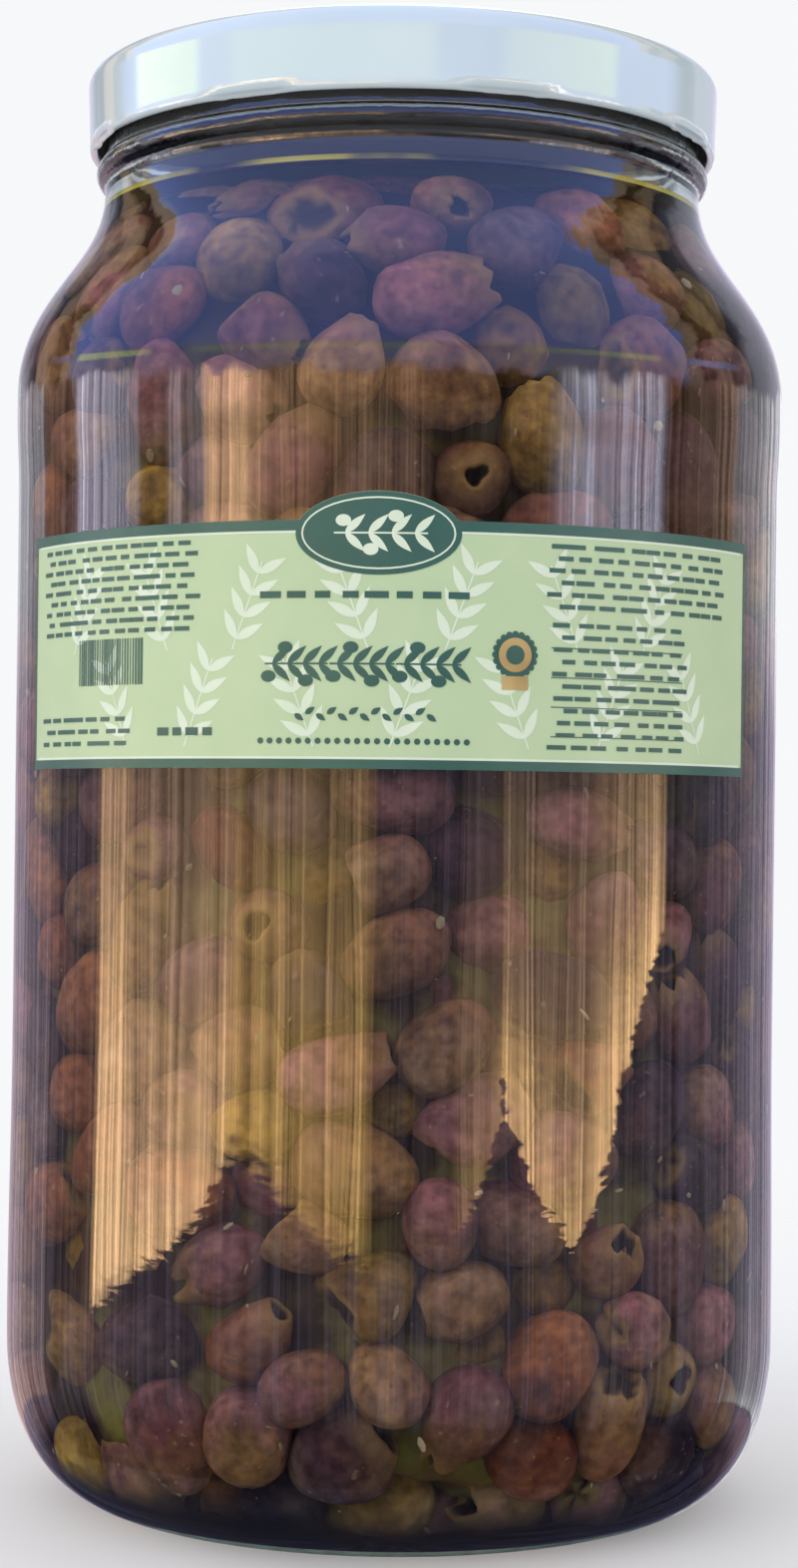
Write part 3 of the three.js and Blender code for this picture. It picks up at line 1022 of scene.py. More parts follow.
def printed_label():
    """The paper with its dark frame, oval, rows of bars, stripes, sprigs and seal."""
    half = math.radians(LABEL_HALF_ANGLE) * LABEL_FRONT
    printing = printing_tree()
    sheet = paper_finish("label_paper", (0.474, 0.607, 0.371), (0.517, 0.644, 0.404))
    paper = finished("label_paper", label_sheet(), sheet)
    green = paper_finish("green_ink", (0.028, 0.098, 0.072), (0.042, 0.125, 0.095), 0.36)
    pale = paper_finish("pale_ink", (0.65, 0.75, 0.58), (0.73, 0.82, 0.68))
    gold = paper_finish("gold_ink", (0.36, 0.24, 0.09), (0.62, 0.45, 0.20), 0.3)
    green_radius = LABEL_FRONT + GREEN_INK_LIFT
    pale_radius = LABEL_FRONT + PALE_INK_LIFT
    top_radius = LABEL_FRONT + TOP_INK_LIFT

    def flat(name, shapes, radius=green_radius):
        return linked(name, wrapped_mesh(name, shapes, radius))

    def dark_rows(name, shape, **sizes):
        return printed(name, printing, shape, green, Radius=green_radius, **sizes)

    def pale_rows(name, shape, radius, **sizes):
        return printed(name, printing, shape, pale, Radius=radius, **sizes)

    def bars(name, along, up, width, height, columns, rows, ink, seed, stray=0.18):
        return dark_rows(
            name, bar(width / columns, ink), Columns=columns, Rows=rows, Width=width, Height=height,
            Along=along, Up=up, Least=0.55, Most=0.9, Stray=stray, Stagger=0.4, Seed=seed,
        )

    oval_half = TAB_HALF_WIDTH - OVAL_INSET, TAB_HALF_HEIGHT - OVAL_INSET
    line_half = TAB_HALF_WIDTH - OVAL_LINE_INSET[0], TAB_HALF_HEIGHT - OVAL_LINE_INSET[1]
    dark = [
        flat("frame", border_slabs(half, 0, BORDER_TOP, BORDER_BOTTOM, BORDER_SIDE)),
        flat("oval", [slab(oval_columns(0, TAB_CENTRE, *oval_half, 40))]),
        bars("upper_left_bars", -50.6, 159.0, 38.0, 15.6, 11, 9, 0.72, 1),
        bars("lower_left_bars", -57.5, 135.6, 25.0, 6.0, 7, 3, 0.72, 2),
        bars("short_bars", -32.8, 135.4, 11.5, 1.5, 4, 1, 1.3, 3, 0.05),
        bars("upper_right_bars", 46.6, 160.8, 38.0, 11.6, 10, 6, 0.75, 4),
        bars("lower_right_bars", 41.8, 143.2, 27.0, 21.6, 7, 11, 0.72, 5),
        bars("middle_bars", -2.2, 157.2, 35.0, 1.2, 8, 1, 1.1, 6, 0.04),
        dark_rows(
            "stripes", bar(0.62, 7.6, 1), Columns=26, Width=16.2, Height=7.6, Along=-49.5, Up=147.0,
            Least=0.25, Most=0.85, Seed=7,
        ),
        dark_rows(
            "rules", bar(26.6, 0.16, 12), Columns=1, Rows=4, Width=0.1, Height=19.0, Along=41.8, Up=142.2,
        ),
        dark_rows(
            "middle_sprigs", sprig(10.4, 4.2, [(-4.6, -2.0), (-1.8, 2.6), (1.6, -2.7)]),
            Columns=3, Width=32.0, Height=7.0, Along=-2.4, Up=146.2,
        ),
        dark_rows(
            "vine", slab(leaf_columns(1.9, 0.95)), Columns=13, Width=23.0, Height=2.0, Turn=0.6,
            Along=-2.6, Up=138.2,
        ),
        dark_rows(
            "dots", slab(oval_columns(0, 0, 0.5, 0.5, 8)), Columns=22, Width=35.0, Height=1.0,
            Along=-2.2, Up=133.9,
        ),
    ]
    line_top = PALE_LINE + BORDER_TOP - BORDER_BOTTOM
    light = [
        flat("inner_line", border_slabs(half, BORDER_BOTTOM, line_top, PALE_LINE, PALE_END), pale_radius),
        pale_rows(
            "leaves", moved(sprig(15.0, 5.4, []), math.pi / 2), pale_radius, Columns=7, Rows=2, Width=122.0,
            Height=31.0, Stagger=0.5, Turn=0.35, Along=-4.0, Up=147.8,
        ),
        flat("oval_line", ring_slabs(0, TAB_CENTRE, *line_half, OVAL_LINE), top_radius),
        pale_rows(
            "oval_sprig", sprig(15.0, 4.4, [(-6.0, 2.0), (-1.6, -2.6), (2.4, 2.7)]), top_radius,
            Columns=1, Width=0.1, Height=0.1, Along=0.4, Up=TAB_CENTRE,
        ),
    ]

    def disc(along, up, size, steps=24):
        return slab(oval_columns(along, up, size, size, steps))

    along, up = SEAL_PLACE
    petals = [
        disc(along + SEAL_RADIUS * math.cos(angle), up + SEAL_RADIUS * math.sin(angle), SEAL_PETAL, 8)
        for angle in np.linspace(0, math.tau, SEAL_PETALS + 1)[:-1]
    ]
    dark.append(flat("seal_edge", [disc(along, up, SEAL_RADIUS), *petals]))
    dark.append(flat("seal_middle", [disc(along, up, SEAL_EYE, 16)], top_radius + SEAL_EYE_LIFT))
    ribbon_places = np.linspace(-RIBBON_HALF_WIDTH, RIBBON_HALF_WIDTH, 5) + along
    ribbon = slab([(x, up - RIBBON_FALL[0], up - RIBBON_FALL[1]) for x in ribbon_places])
    gold_shapes = [disc(along, up, SEAL_GOLD), ribbon]
    seal = finished("label_gold", wrapped_mesh("label_gold", gold_shapes, top_radius), gold)
    return [paper, merged("label_green", dark, green), merged("label_pale", light, pale), seal]


# Lid

def press_lugs(mesh):
    """Presses the lower edge of the lid inwards at its lugs."""
    for corner in mesh.vertices:
        x, y, z = (value / MM for value in corner.co)
        radius = math.hypot(x, y)
        if radius < LUG_INSIDE or z > LID_BOTTOM + LUG_RISE:
            continue
        angle = math.degrees(math.atan2(x, -y))
        spacing = 360 / LUG_COUNT
        off = (angle - FIRST_LUG + spacing / 2) % spacing - spacing / 2
        share = min(1.0, max(0.0, (LUG_HALF_ANGLE - abs(off)) / LUG_END))
        share = share * share * (3 - 2 * share)
        down = min(1.0, (LID_BOTTOM + LUG_RISE - z) / LUG_LEDGE)
        outer = radius > LID_RADIUS - CURL_DEPTH / 2 - LID_TAPER
        move = share * down * (LUG_DENT if outer else LUG_REACH) * MM
        corner.co.x -= move * x / radius
        corner.co.y -= move * y / radius
    mesh.update()


# The heap of olives

WALL_LINE = np.array([*inner_wall(14), (MOUTH_RADIUS, INNER_NECK_BASE + NECK_REACH)])


def wall_distance(points):
    """How far points are inside the glass, and the direction away from it."""
    radius = np.maximum(np.hypot(points[:, 0], points[:, 1]), 1e-6)
    flat = np.stack([radius, points[:, 2]], axis=1)
    start, along = WALL_LINE[:-1], np.diff(WALL_LINE, axis=0)
    length = (along ** 2).sum(1)
    apart = flat[:, None] - start[None]
    share = np.clip((apart * along).sum(2) / length, 0, 1)
    off = apart - share[..., None] * along
    nearest = (off ** 2).sum(2).argmin(1)
    inward = np.stack([-along[:, 1], along[:, 0]], axis=1) / np.sqrt(length)[:, None]
    inward = inward[nearest]
    off = off[np.arange(len(flat)), nearest]
    away = np.stack([
        inward[:, 0] * points[:, 0] / radius,
        inward[:, 0] * points[:, 1] / radius,
        inward[:, 1],
    ], axis=1)
    return (off * inward).sum(1), away


def heap_volume():
    """The room for olives inside the jar, in cubic millimetres."""
    heights = np.linspace(BASE_THICKNESS, HEAP_TOP, 200)
    line = WALL_LINE[np.argsort(WALL_LINE[:, 1], kind="stable")]
    radii = np.interp(heights, line[:, 1], line[:, 0])
    return (math.pi * radii ** 2).mean() * (HEAP_TOP - BASE_THICKNESS)


def close_pairs(balls, reach):
    """Pairs of balls within reach of each other, without the two of one olive."""
    squares = (balls ** 2).sum(1)
    apart = squares[:, None] + squares[None] - 2 * balls @ balls.T
    first, second = np.nonzero(np.triu(apart < reach * reach, 1))
    keep = first // 2 != second // 2
    return first[keep], second[keep]


def packed_olives(random):
    """Packs olives into the jar: each is two balls on a short rod, and all push apart until they settle."""
    middle = 4 / 3 * math.pi * np.mean(OLIVE_HALF_LENGTH) * np.mean(OLIVE_HALF_WIDTH) ** 2
    count = int(HEAP_FILL * heap_volume() / middle)
    half_length = random.uniform(*OLIVE_HALF_LENGTH, count)
    half_width = random.uniform(*OLIVE_HALF_WIDTH, count)
    half_width = np.minimum(half_width, half_length * OLIVE_ROUNDEST)
    rod = half_length - half_width
    ball_radius = np.repeat(half_width, 2)
    start_low = (-START_HALF, -START_HALF, START_LOW)
    start_high = (START_HALF, START_HALF, HEAP_TOP - START_DROP)
    centres = np.empty((0, 3))
    while len(centres) < count:
        tries = random.uniform(start_low, start_high, (4 * count, 3))
        centres = np.concatenate([centres, tries[wall_distance(tries)[0] > START_CLEARANCE]])
    centres = centres[:count]
    axes = random.normal(size=(count, 3))
    axes /= np.linalg.norm(axes, axis=1)[:, None]
    for step in range(RELAX_STEPS):
        reach = axes * rod[:, None]
        balls = np.stack([centres - reach, centres + reach], axis=1).reshape(-1, 3)
        if step % PAIR_STEPS == 0:
            first, second = close_pairs(balls, 2 * OLIVE_HALF_WIDTH[1] + PAIR_MARGIN)
            want = (ball_radius[first] + ball_radius[second]) * OLIVE_PRESS
        offset = balls[second] - balls[first]
        gap = np.maximum(np.linalg.norm(offset, axis=1), 1e-3)
        push = np.clip(want - gap, 0, None) / 2
        move = offset * (push / gap)[:, None]
        touching = push > 0
        shift = np.zeros_like(balls)
        np.add.at(shift, second, move)
        np.add.at(shift, first, -move)
        touches = np.bincount(first[touching], minlength=len(balls))
        touches = touches + np.bincount(second[touching], minlength=len(balls))
        balls = balls + shift * (SETTLE_GAIN / np.maximum(touches, SETTLE_GAIN))[:, None]
        inside, away = wall_distance(balls)
        if step < SPREAD_STEPS:
            balls = balls - away * (SPREAD_PUSH * (inside < SPREAD_DEPTH))[:, None]
        balls = balls + away * np.clip(ball_radius * WALL_PRESS - inside, 0, None)[:, None]
        balls[:, 2] = np.minimum(balls[:, 2], HEAP_TOP - ball_radius)
        pair = balls.reshape(-1, 2, 3)
        centres = pair.mean(1)
        axes = pair[:, 1] - pair[:, 0]
        axes /= np.maximum(np.linalg.norm(axes, axis=1), 1e-6)[:, None]
    return centres, axes, half_length, half_width


def olive_grid(rings, sides):
    """Faces of a closed shape of rings between two end points: first end, rings, last end."""
    quads, ends = [], []
    last = 1 + rings * sides
    for s in range(sides):
        following = (s + 1) % sides
        ends.append((0, 1 + following, 1 + s))
        base = 1 + (rings - 1) * sides
        ends.append((last, base + s, base + following))
        for r in range(rings - 1):
            low, high = 1 + r * sides, 1 + (r + 1) * sides
            quads.append((low + s, low + following, high + following, high + s))
    return np.array(quads), np.array(ends), last + 1


def olive_shapes(random, half_length, half_width, rings, sides, pitted):
    """Corners of olives along their own X axis, with how far along and how fleshy each is, and how much
    painted shade darkens its holes and cuts.
    """
    count = len(half_length)
    tilt = np.linspace(0, math.pi, rings + 2)
    along = np.cos(tilt)
    turn = np.arange(sides) * math.tau / sides
    egg = random.uniform(-EGG_SKEW, EGG_SKEW, count)[:, None]
    blunt = random.uniform(*END_BLUNTNESS, count)[:, None]
    thin = random.uniform(*FLATTENING, count)[:, None, None]
    girth = (np.sin(tilt).clip(1e-9)[None] ** blunt) * (1 + egg * along[None])
    x = half_length[:, None] * along[None]
    girth = half_width[:, None] * girth
    flesh = np.zeros((count, rings + 2))
    hole_shade = np.zeros((count, rings + 2))
    if pitted.any():
        mouth = random.uniform(*HOLE_RADIUS, count)
        depth = random.uniform(*HOLE_DEPTH, count)
        # Rings down into the hole: place, width, pale flesh, and painted shade deep inside.
        lip = half_length * np.sqrt(np.clip(1 - (mouth / half_width) ** 2, 0.2, 1))
        shape = [
            (lip - depth, mouth * 0.05, 0.0, 1.0),
            (lip - depth * 0.8, mouth * 0.7, 0.0, 1.0),
            (lip - depth * 0.25, mouth * 0.85, 0.3, 0.75),
            (lip - 0.1, mouth, 0.8, 0.15),
            (lip - 0.25, mouth + 0.8, 0.45, 0.0),
        ]
        for ring, (place, wide, pale, dark) in enumerate(shape):
            x[pitted, ring] = place[pitted]
            girth[pitted, ring] = wide[pitted]
            flesh[pitted, ring] = pale
            hole_shade[pitted, ring] = dark
    girth[:, 0] = 0
    girth[:, -1] = 0
    oval = 1
    for lobes, least, most in HOLE_LOBES:
        size = random.uniform(least, most, (count, 1))
        oval = oval + size * np.cos(lobes * turn + random.uniform(0, math.tau, (count, 1)))
    near_hole = np.array([1.0, 1.0, 1.0, 1.0, 0.6, 0.25] + [0.0] * (rings - 4))
    uneven = 1 + (pitted[:, None] * near_hole)[..., None] * (oval[:, None] - 1)
    y = girth[..., None] * np.cos(turn) * uneven
    z = girth[..., None] * np.sin(turn) * thin * uneven
    x = np.repeat(x[..., None], sides, axis=2)
    is_torn = pitted & (random.random(count) < TORN_SHARE)
    torn = np.where(is_torn, random.uniform(*TEAR, count), CLEAN_TEAR * pitted)
    ragged = sum(
        random.normal(size=(count, 1)) * np.sin((k + 1) * turn + random.uniform(0, math.tau, (count, 1)))
        for k in range(1, 6)
    ) / 2
    rim = np.array([0.0, 0.2, 0.6, 1.0, 0.6] + [0.0] * (rings - 3))
    x = x + torn[:, None, None] * rim[None, :, None] * ragged[:, None]
    cut = random.random(count) < CUT_SHARE * pitted.any()
    plane = -half_length * random.uniform(*CUT_PLACE, count)
    lean = random.uniform(-CUT_LEAN, CUT_LEAN, (2, count))
    limit = plane[:, None, None] + lean[0][:, None, None] * y + lean[1][:, None, None] * z
    limit = limit + 0.5 * ragged[:, None]
    beyond = np.clip(limit - x, 0, None) * cut[:, None, None]
    x = x + beyond
    fresh = np.clip(beyond / CUT_FLESH, 0, 1)
    flesh = np.maximum(flesh[..., None], 0.75 * fresh)
    # Painted shade deep in a cut end.
    hole_shade = np.maximum(hole_shade[..., None], 0.85 * np.clip(beyond - CUT_SHADE_DEPTH, 0, 1))
    places = np.stack([x, y, z], axis=-1)
    for _ in range(LUMP_COUNT):
        wave = random.normal(size=(count, 1, 1, 3)) * LUMP_WAVE
        phase = random.uniform(0, math.tau, (count, 1, 1))
        size = random.uniform(*LUMP_SIZE, (count, 1, 1))
        lump = size * np.sin((places * wave).sum(-1) + phase)
        places[..., 1:] *= (1 + lump / half_width[:, None, None])[..., None]
    blush = np.broadcast_to((0.5 + 0.5 * along)[None, :, None], x.shape)
    return places, blush, flesh, hole_shade


def ring_corners(values):
    """Keeps one corner for each end and all corners of the rings between."""
    count = values.shape[0]
    rest = values.shape[3:]
    body = values[:, 1:-1].reshape(count, -1, *rest)
    return np.concatenate([values[:, :1, 0], body, values[:, -1:, 0]], axis=1)


def olive_piece(name, random, heap, chosen, finish, rings, sides, pit_share):
    """Joins the chosen olives into one mesh, each pressed flat where it meets the glass."""
    centres, axes, half_length, half_width = (values[chosen] for values in heap)
    count = len(centres)
    pitted = random.random(count) < pit_share
    shapes, blush, flesh, hole_shade = olive_shapes(random, half_length, half_width, rings, sides, pitted)
    local = ring_corners(shapes)
    sideways = np.cross(axes, random.normal(size=(count, 3)))
    sideways /= np.linalg.norm(sideways, axis=1)[:, None]
    frames = np.stack([axes, sideways, np.cross(axes, sideways)], axis=1)
    places = (np.einsum("nvi,nij->nvj", local, frames) + centres[:, None]).reshape(-1, 3)
    for part in np.array_split(np.arange(len(places)), max(1, len(places) // 20000)):
        inside, away = wall_distance(places[part])
        places[part] += away * np.clip(WALL_CLEARANCE - inside, 0, None)[:, None]
    quads, ends, corners = olive_grid(rings, sides)
    starts = (np.arange(count) * corners)[:, None, None]
    faces = (quads[None] + starts).reshape(-1, 4).tolist() + (ends[None] + starts).reshape(-1, 3).tolist()
    mesh = bpy.data.meshes.new(name)
    mesh.from_pydata((places * MM).tolist(), [], faces)
    tones = {
        "tone": np.repeat(random.random(count), corners),
        "end": ring_corners(blush).ravel(),
        "flesh": ring_corners(flesh).ravel(),
        "hole_shade": ring_corners(hole_shade).ravel(),
    }
    for label, values in tones.items():
        mesh.attributes.new(label, "FLOAT", "POINT").data.foreach_set("value", values.astype(np.float32))
    mesh.polygons.foreach_set("use_smooth", np.ones(len(mesh.polygons), dtype=bool))
    mesh.materials.append(finish)
    face_outwards(mesh)
    return linked(name, mesh)


def roughen(mesh, random):
    """Gives a mesh soft bumps by moving each corner along its normal."""
    places = corner_places(mesh) / MM
    lift = np.zeros(len(places))
    for _ in range(CORE_WAVES):
        wave = random.normal(size=3) * CORE_WAVE
        lift += np.sin(places @ wave + random.uniform(0, math.tau))
    normals = np.array([corner.normal for corner in mesh.vertices])
    places = places + normals * (lift * CORE_BUMP / 2)[:, None]
    mesh.vertices.foreach_set("co", (places * MM).ravel())
    mesh.update()


def sorted_kinds(random, centres):
    """A kind for each olive. More dark ones have gathered low on the label's right."""
    shares = np.array([kind["share"] for kind in KINDS.values()])
    weights = np.repeat(shares[None], len(centres), axis=0)
    corner = (centres[:, 0] > DARK_CORNER[0]) & (centres[:, 2] < DARK_CORNER[1])
    weights[corner, list(KINDS).index("olives_dark")] *= DARK_CORNER_GAIN
    limits = np.cumsum(weights, axis=1) / weights.sum(1)[:, None]
    return (random.random(len(centres))[:, None] > limits).sum(1)


# Shreds of skin and flesh that float in the oil

def shreds_tree():
    """Scatters flakes over a sheet, each turned and sized by chance and sunk a little way off it."""
    sizes = ["Density", "Smallest", "Largest", "Sink"]
    inputs = [("Seed", "Int"), ("Finish", "Material")]
    tree, given, made = new_tree("shreds", inputs + [(size, "Float") for size in sizes])
    value = given.outputs

    def draw(least, most, step):
        return chance(tree, least, most, plus(tree, value["Seed"], step))

    spots = add_node(tree, "GeometryNodeDistributePointsOnFaces", [
        ("Mesh", value["Mesh"]), ("Density", value["Density"]), ("Seed", value["Seed"])
    ])
    sunk = times(tree, draw(0.0, value["Sink"], 1.0), -1.0)
    values = [(0, spots.outputs["Normal"]), ("Scale", sunk)]
    inward = add_node(tree, "ShaderNodeVectorMath", values, operation="SCALE").outputs[0]
    angles = [draw(0.0, math.tau, step) for step in (2.0, 3.0, 4.0)]
    mostly_small = maths(tree, "POWER", draw(0.0, 1.0, 5.0), 4.0)
    spread = minus(tree, value["Largest"], value["Smallest"])
    size = plus(tree, value["Smallest"], times(tree, spread, mostly_small))
    shares = (draw(0.6, 1.2, 6.0), draw(0.3, 0.8, 7.0), SHRED_THICKNESS)
    flake = add_node(tree, "GeometryNodeMeshIcoSphere", [("Radius", 0.5), ("Subdivisions", 1)])
    copies = add_node(tree, "GeometryNodeInstanceOnPoints", [
        ("Points", shifted(tree, spots.outputs[0], "Offset", inward)),
        ("Instance", flake.outputs["Mesh"]),
        ("Rotation", vector(tree, *angles)),
        ("Scale", vector(tree, *(times(tree, size, share) for share in shares))),
    ])
    end_tree(tree, copies.outputs[0], given, made)
    return tree


def shred_sheet():
    """A sheet just inside the glass, from the heel to the oil's top."""
    low, high = BASE_THICKNESS + SHRED_FOOT_GAP, OIL_TOP - SHRED_TOP_GAP
    return [(r - SHRED_GAP, z) for r, z in inner_wall(10) if low < z < high]


# Build

def face_place(face):
    """A face's distance from the jar's axis, its height, and how far it faces away from the axis."""
    x, y, z = (value / MM for value in face.center)
    return math.hypot(x, y), z, face.normal.x * x + face.normal.y * y


turning = turning_tree()

jar = turned_piece("glass_jar_clear", turning, jar_profile(), glass_finish("clear_glass", wet=False))
jar.data.materials.append(glass_finish("oiled_glass", wet=True))
jar.data.materials.append(foot_finish())
for face in jar.data.polygons:
    radius, height, facing = face_place(face)
    inside_wall = facing < FACING_IN and height < OIL_TOP + MENISCUS_RISE
    inside_base = face.normal.z > FACING_UP and height < INNER_HEEL_TOP and radius < INNER_RADIUS
    if inside_wall or inside_base:
        face.material_index = 1
    elif height < FOOT_HEIGHT and face.normal.z < 0:
        face.material_index = 2

oil = turned_piece("oil", turning, oil_profile(), oil_finish("oil_side", wet=True))
for finish in (oil_finish("oil_surface", wet=False), oil_line_glint_finish(), painted_foot_shade_finish()):
    oil.data.materials.append(finish)
for face in oil.data.polygons:
    _, height, _ = face_place(face)
    if height > OIL_TOP - DISH_DEPTH and face.normal.z > DISH_FACING_UP:
        face.material_index = 1
    # Faces above the line's foot get the oil line, a painted highlight
    elif height > OIL_TOP + OIL_LINE_FOOT:
        face.material_index = 2
    # Faces low on the oil get the dark band of painted shade
    elif height < FOOT_SHADE_TOP:
        face.material_index = 3

for clear in (jar, oil):
    clear.visible_shadow = False
    clear.visible_diffuse = False

lid = turned_piece("lid_white", turning, lid_profile(), lid_finish(), sides=LID_SIDES)
press_lugs(lid.data)
lid.data.materials.append(liner_finish())
# Faces turned in and down get the liner, painted dark as shade
for face in lid.data.polygons:
    _, height, facing = face_place(face)
    inwards = face.normal.z < -FACING_UP or (facing < FACING_IN and face.normal.z < LINER_LEAN)
    if height > LID_BOTTOM + CURL_HEIGHT / 2 and inwards:
        face.material_index = 1

label_pieces = printed_label()

random = np.random.default_rng(HEAP_SEED)
heap = packed_olives(random)
depth = wall_distance(heap[0])[0]
outer = (depth < WALL_LAYER) | (heap[0][:, 2] > HEAP_TOP - TOP_LAYER)
wall_olives = np.nonzero(outer)[0]
back_olives = np.nonzero(~outer & (depth < SHELL_DEPTH))[0]
kind_of = sorted_kinds(random, heap[0])
olive_pieces, finishes = [], []
for number, (name, kind) in enumerate(KINDS.items()):
    finish = olive_finish(name + "_skin", kind["skin"], kind["blush"], kind["speck"])
    finishes.append(finish)
    chosen = wall_olives[kind_of[wall_olives] == number]
    piece = olive_piece(name, random, heap, chosen, finish, OLIVE_RINGS, OLIVE_SIDES, PIT_SHARE)
    olive_pieces.append(piece)
for name, finish, chosen in (
    ("olives_behind_mauve", finishes[0], back_olives[::2]),
    ("olives_behind_ochre", finishes[2], back_olives[1::2]),
):
    piece = olive_piece(name, random, heap, chosen, finish, BEHIND_RINGS, BEHIND_SIDES, 0.0)
    olive_pieces.append(piece)

core = turned_piece("olive_core", turning, core_profile(), murk_finish(), sides=CORE_SIDES)
roughen(core.data, random)

sheet = turned_piece("shred_sheet", turning, shred_sheet(), finishes[0], sides=SHRED_SHEET_SIDES)
shreds = grown("olive_shreds", shreds_tree(), sheet.data, {
    "Seed": 5,
    "Finish": paper_finish("shred_flesh", (0.34, 0.24, 0.15), (0.52, 0.42, 0.32), 0.6),
    "Density": 6000.0,
    "Smallest": 0.35 * MM,
    "Largest": 3.6 * MM,
    "Sink": 1.2 * MM,
})
bpy.data.objects.remove(sheet)

for piece in (jar, oil, lid, core, shreds, *olive_pieces, *label_pieces):
    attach(piece, "root")
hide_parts("glass_jar")
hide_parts("lid")
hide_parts("olives")
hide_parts("label")

# Studio

FLOOR_HALF = 4.0
FLOOR_DROP = 0.0002
floor_mesh = bpy.data.meshes.new("floor")
floor_signs = ((-1, -1), (1, -1), (1, 1), (-1, 1))
floor_corners = [(x * FLOOR_HALF, y * FLOOR_HALF, -FLOOR_DROP) for x, y in floor_signs]
floor_mesh.from_pydata(floor_corners, [], [(0, 1, 2, 3)])
floor = linked("floor", floor_mesh)
floor_finish, floor_tree, floor_shader, _ = new_finish("pale_floor")
reach = add_node(floor_tree, "ShaderNodeVectorMath", [(0, own_place(floor_tree))], operation="LENGTH")
set_sockets(floor_tree, floor_shader, {
    "Base Color": (0.86, 0.87, 0.88, 1),
    "Roughness": 0.7,
    "Alpha": ramp(floor_tree, reach.outputs["Value"], [(0.12, 1), (0.5, 0)]),
})
floor_mesh.materials.append(floor_finish)
floor.visible_glossy = False
floor.visible_transmission = False

lamp = bpy.data.lights.new("softbox", "AREA")
lamp.shape = "DISK"
lamp.size = 0.7
lamp.energy = 2.2
softbox = bpy.data.objects.new("softbox", lamp)
softbox.location = (-0.75, -0.7, 0.6)
softbox.rotation_euler = (Vector((0, 0, 0.13)) - softbox.location).to_track_quat("-Z", "Y").to_euler()
softbox.visible_camera = False
softbox.visible_glossy = False
softbox.visible_transmission = False
bpy.context.collection.objects.link(softbox)

# What the glass and the lid mirror, as (degrees round from the label, colour): walls above and below the
# label's height, with a dark stretch before the jar.
HIGH_WALLS = [
    (-129, (0.9, 0.9, 1.0)),
    (-125, (0.7, 0.42, 0.34)),
    (-109, (0.7, 0.42, 0.34)),
    (-105, (3.6, 3.4, 4.3)),
    (-80, (3.3, 3.1, 3.8)),
    (-77, (0.4, 0.3, 0.18)),
    (-69, (0.5, 0.38, 0.25)),
    (-66, (2.6, 2.3, 2.6)),
    (-56, (2.5, 2.1, 2.2)),
    (-54, (9.0, 5.5, 3.0)),
    (-39, (8.6, 5.2, 2.8)),
    (-36, (3.4, 2.0, 1.1)),
    (-22, (2.2, 1.3, 0.75)),
    (8, (1.7, 1.0, 0.6)),
    (13, (0.14, 0.11, 0.11)),
    (46, (0.2, 0.16, 0.17)),
    (53, (4.3, 4.2, 5.3)),
    (84, (4.3, 4.2, 5.3)),
    (88, (0.7, 0.40, 0.26)),
    (118, (1.2, 0.8, 0.6)),
    (124, (1.1, 1.1, 1.2)),
]
LOW_WALLS = [
    (-122, (0.9, 0.66, 0.66)),
    (-116, (0.3, 0.25, 0.27)),
    (-104, (0.4, 0.3, 0.3)),
    (-95, (1.0, 0.65, 0.5)),
    (-93, (12.8, 8.0, 4.2)),
    (-48, (12.4, 7.7, 4.0)),
    (-43, (6.1, 3.8, 1.4)),
    (-5, (5.9, 3.7, 1.3)),
    (-3, (0.32, 0.26, 0.27)),
    (20, (0.32, 0.26, 0.27)),
    (23, (4.0, 2.5, 1.3)),
    (32, (4.5, 2.8, 1.5)),
    (35, (10.4, 6.4, 2.9)),
    (85, (12.6, 7.8, 3.8)),
    (90, (0.32, 0.26, 0.27)),
    (112, (0.5, 0.48, 0.5)),
    (122, (1.2, 1.25, 1.3)),
]
# The walls' lower edge, as (degrees, fall for each unit of distance)
WALL_FOOT = [
    (-116, 0.3),
    (-107, 0.165),
    (-94, 0.165),
    (-65, 0.130),
    (-43, 0.095),
    (-4, 0.136),
    (21, 0.122),
    (35, 0.084),
    (58, 0.124),
    (68, 0.100),
    (88, 0.036),
    (104, 0.036),
    (112, 0.3),
]
# How fast the walls' glow dies away upwards, as (degrees, rate)
WALL_FADE = [
    (-82, 0.5),
    (-77, 1.4),
    (-48, 1.3),
    (-43, 0.6),
    (-4, 0.6),
    (25, 2.4),
    (54, 2.4),
    (68, 1.7),
    (86, 1.5),
]
# The glow itself, as (rise above the walls' foot, share)
GLOW = [(0.0, 0), (0.006, 1), (0.03, 0.85), (0.07, 0.42), (0.13, 0.26), (0.3, 0.08)]
# What lies at the lid's height
LID_SKY = [
    (-122, (0.3, 0.35, 0.6)),
    (-110, (0.7, 0.9, 1.9)),
    (-106, (2.9, 3.4, 2.1)),
    (-77, (2.9, 3.4, 2.1)),
    (-73, (0.9, 1.0, 2.0)),
    (-63, (0.9, 1.0, 2.0)),
    (-58, (1.5, 1.8, 1.8)),
    (12, (1.5, 1.8, 1.8)),
    (16, (0.6, 0.8, 1.9)),
    (36, (0.6, 0.8, 1.9)),
    (42, (1.5, 1.8, 1.8)),
    (82, (2.4, 2.9, 2.1)),
    (86, (1.0, 1.2, 2.4)),
    (110, (0.9, 1.1, 2.0)),
    (122, (0.3, 0.35, 0.6)),
]
# Brown patches across the far sky, as (how far past their edge, colour)
PATCHES = [
    (0.0, (1.3, 1.0, 0.8)),
    (0.09, (1.1, 0.8, 0.6)),
    (0.12, (0.2, 0.11, 0.09)),
    (0.19, (0.25, 0.14, 0.10)),
    (0.23, (0.8, 0.55, 0.36)),
    (0.34, (0.6, 0.45, 0.36)),
    (0.38, (0.10, 0.10, 0.13)),
    (0.46, (0.2, 0.2, 0.26)),
    (0.54, (0.6, 0.62, 0.75)),
]
STREAK_WIDTHS = (18.0, 75.0)
NEAR_GROUND = (0.06, 0.06, 0.11)
FAR_GROUND = (0.55, 0.48, 0.66)


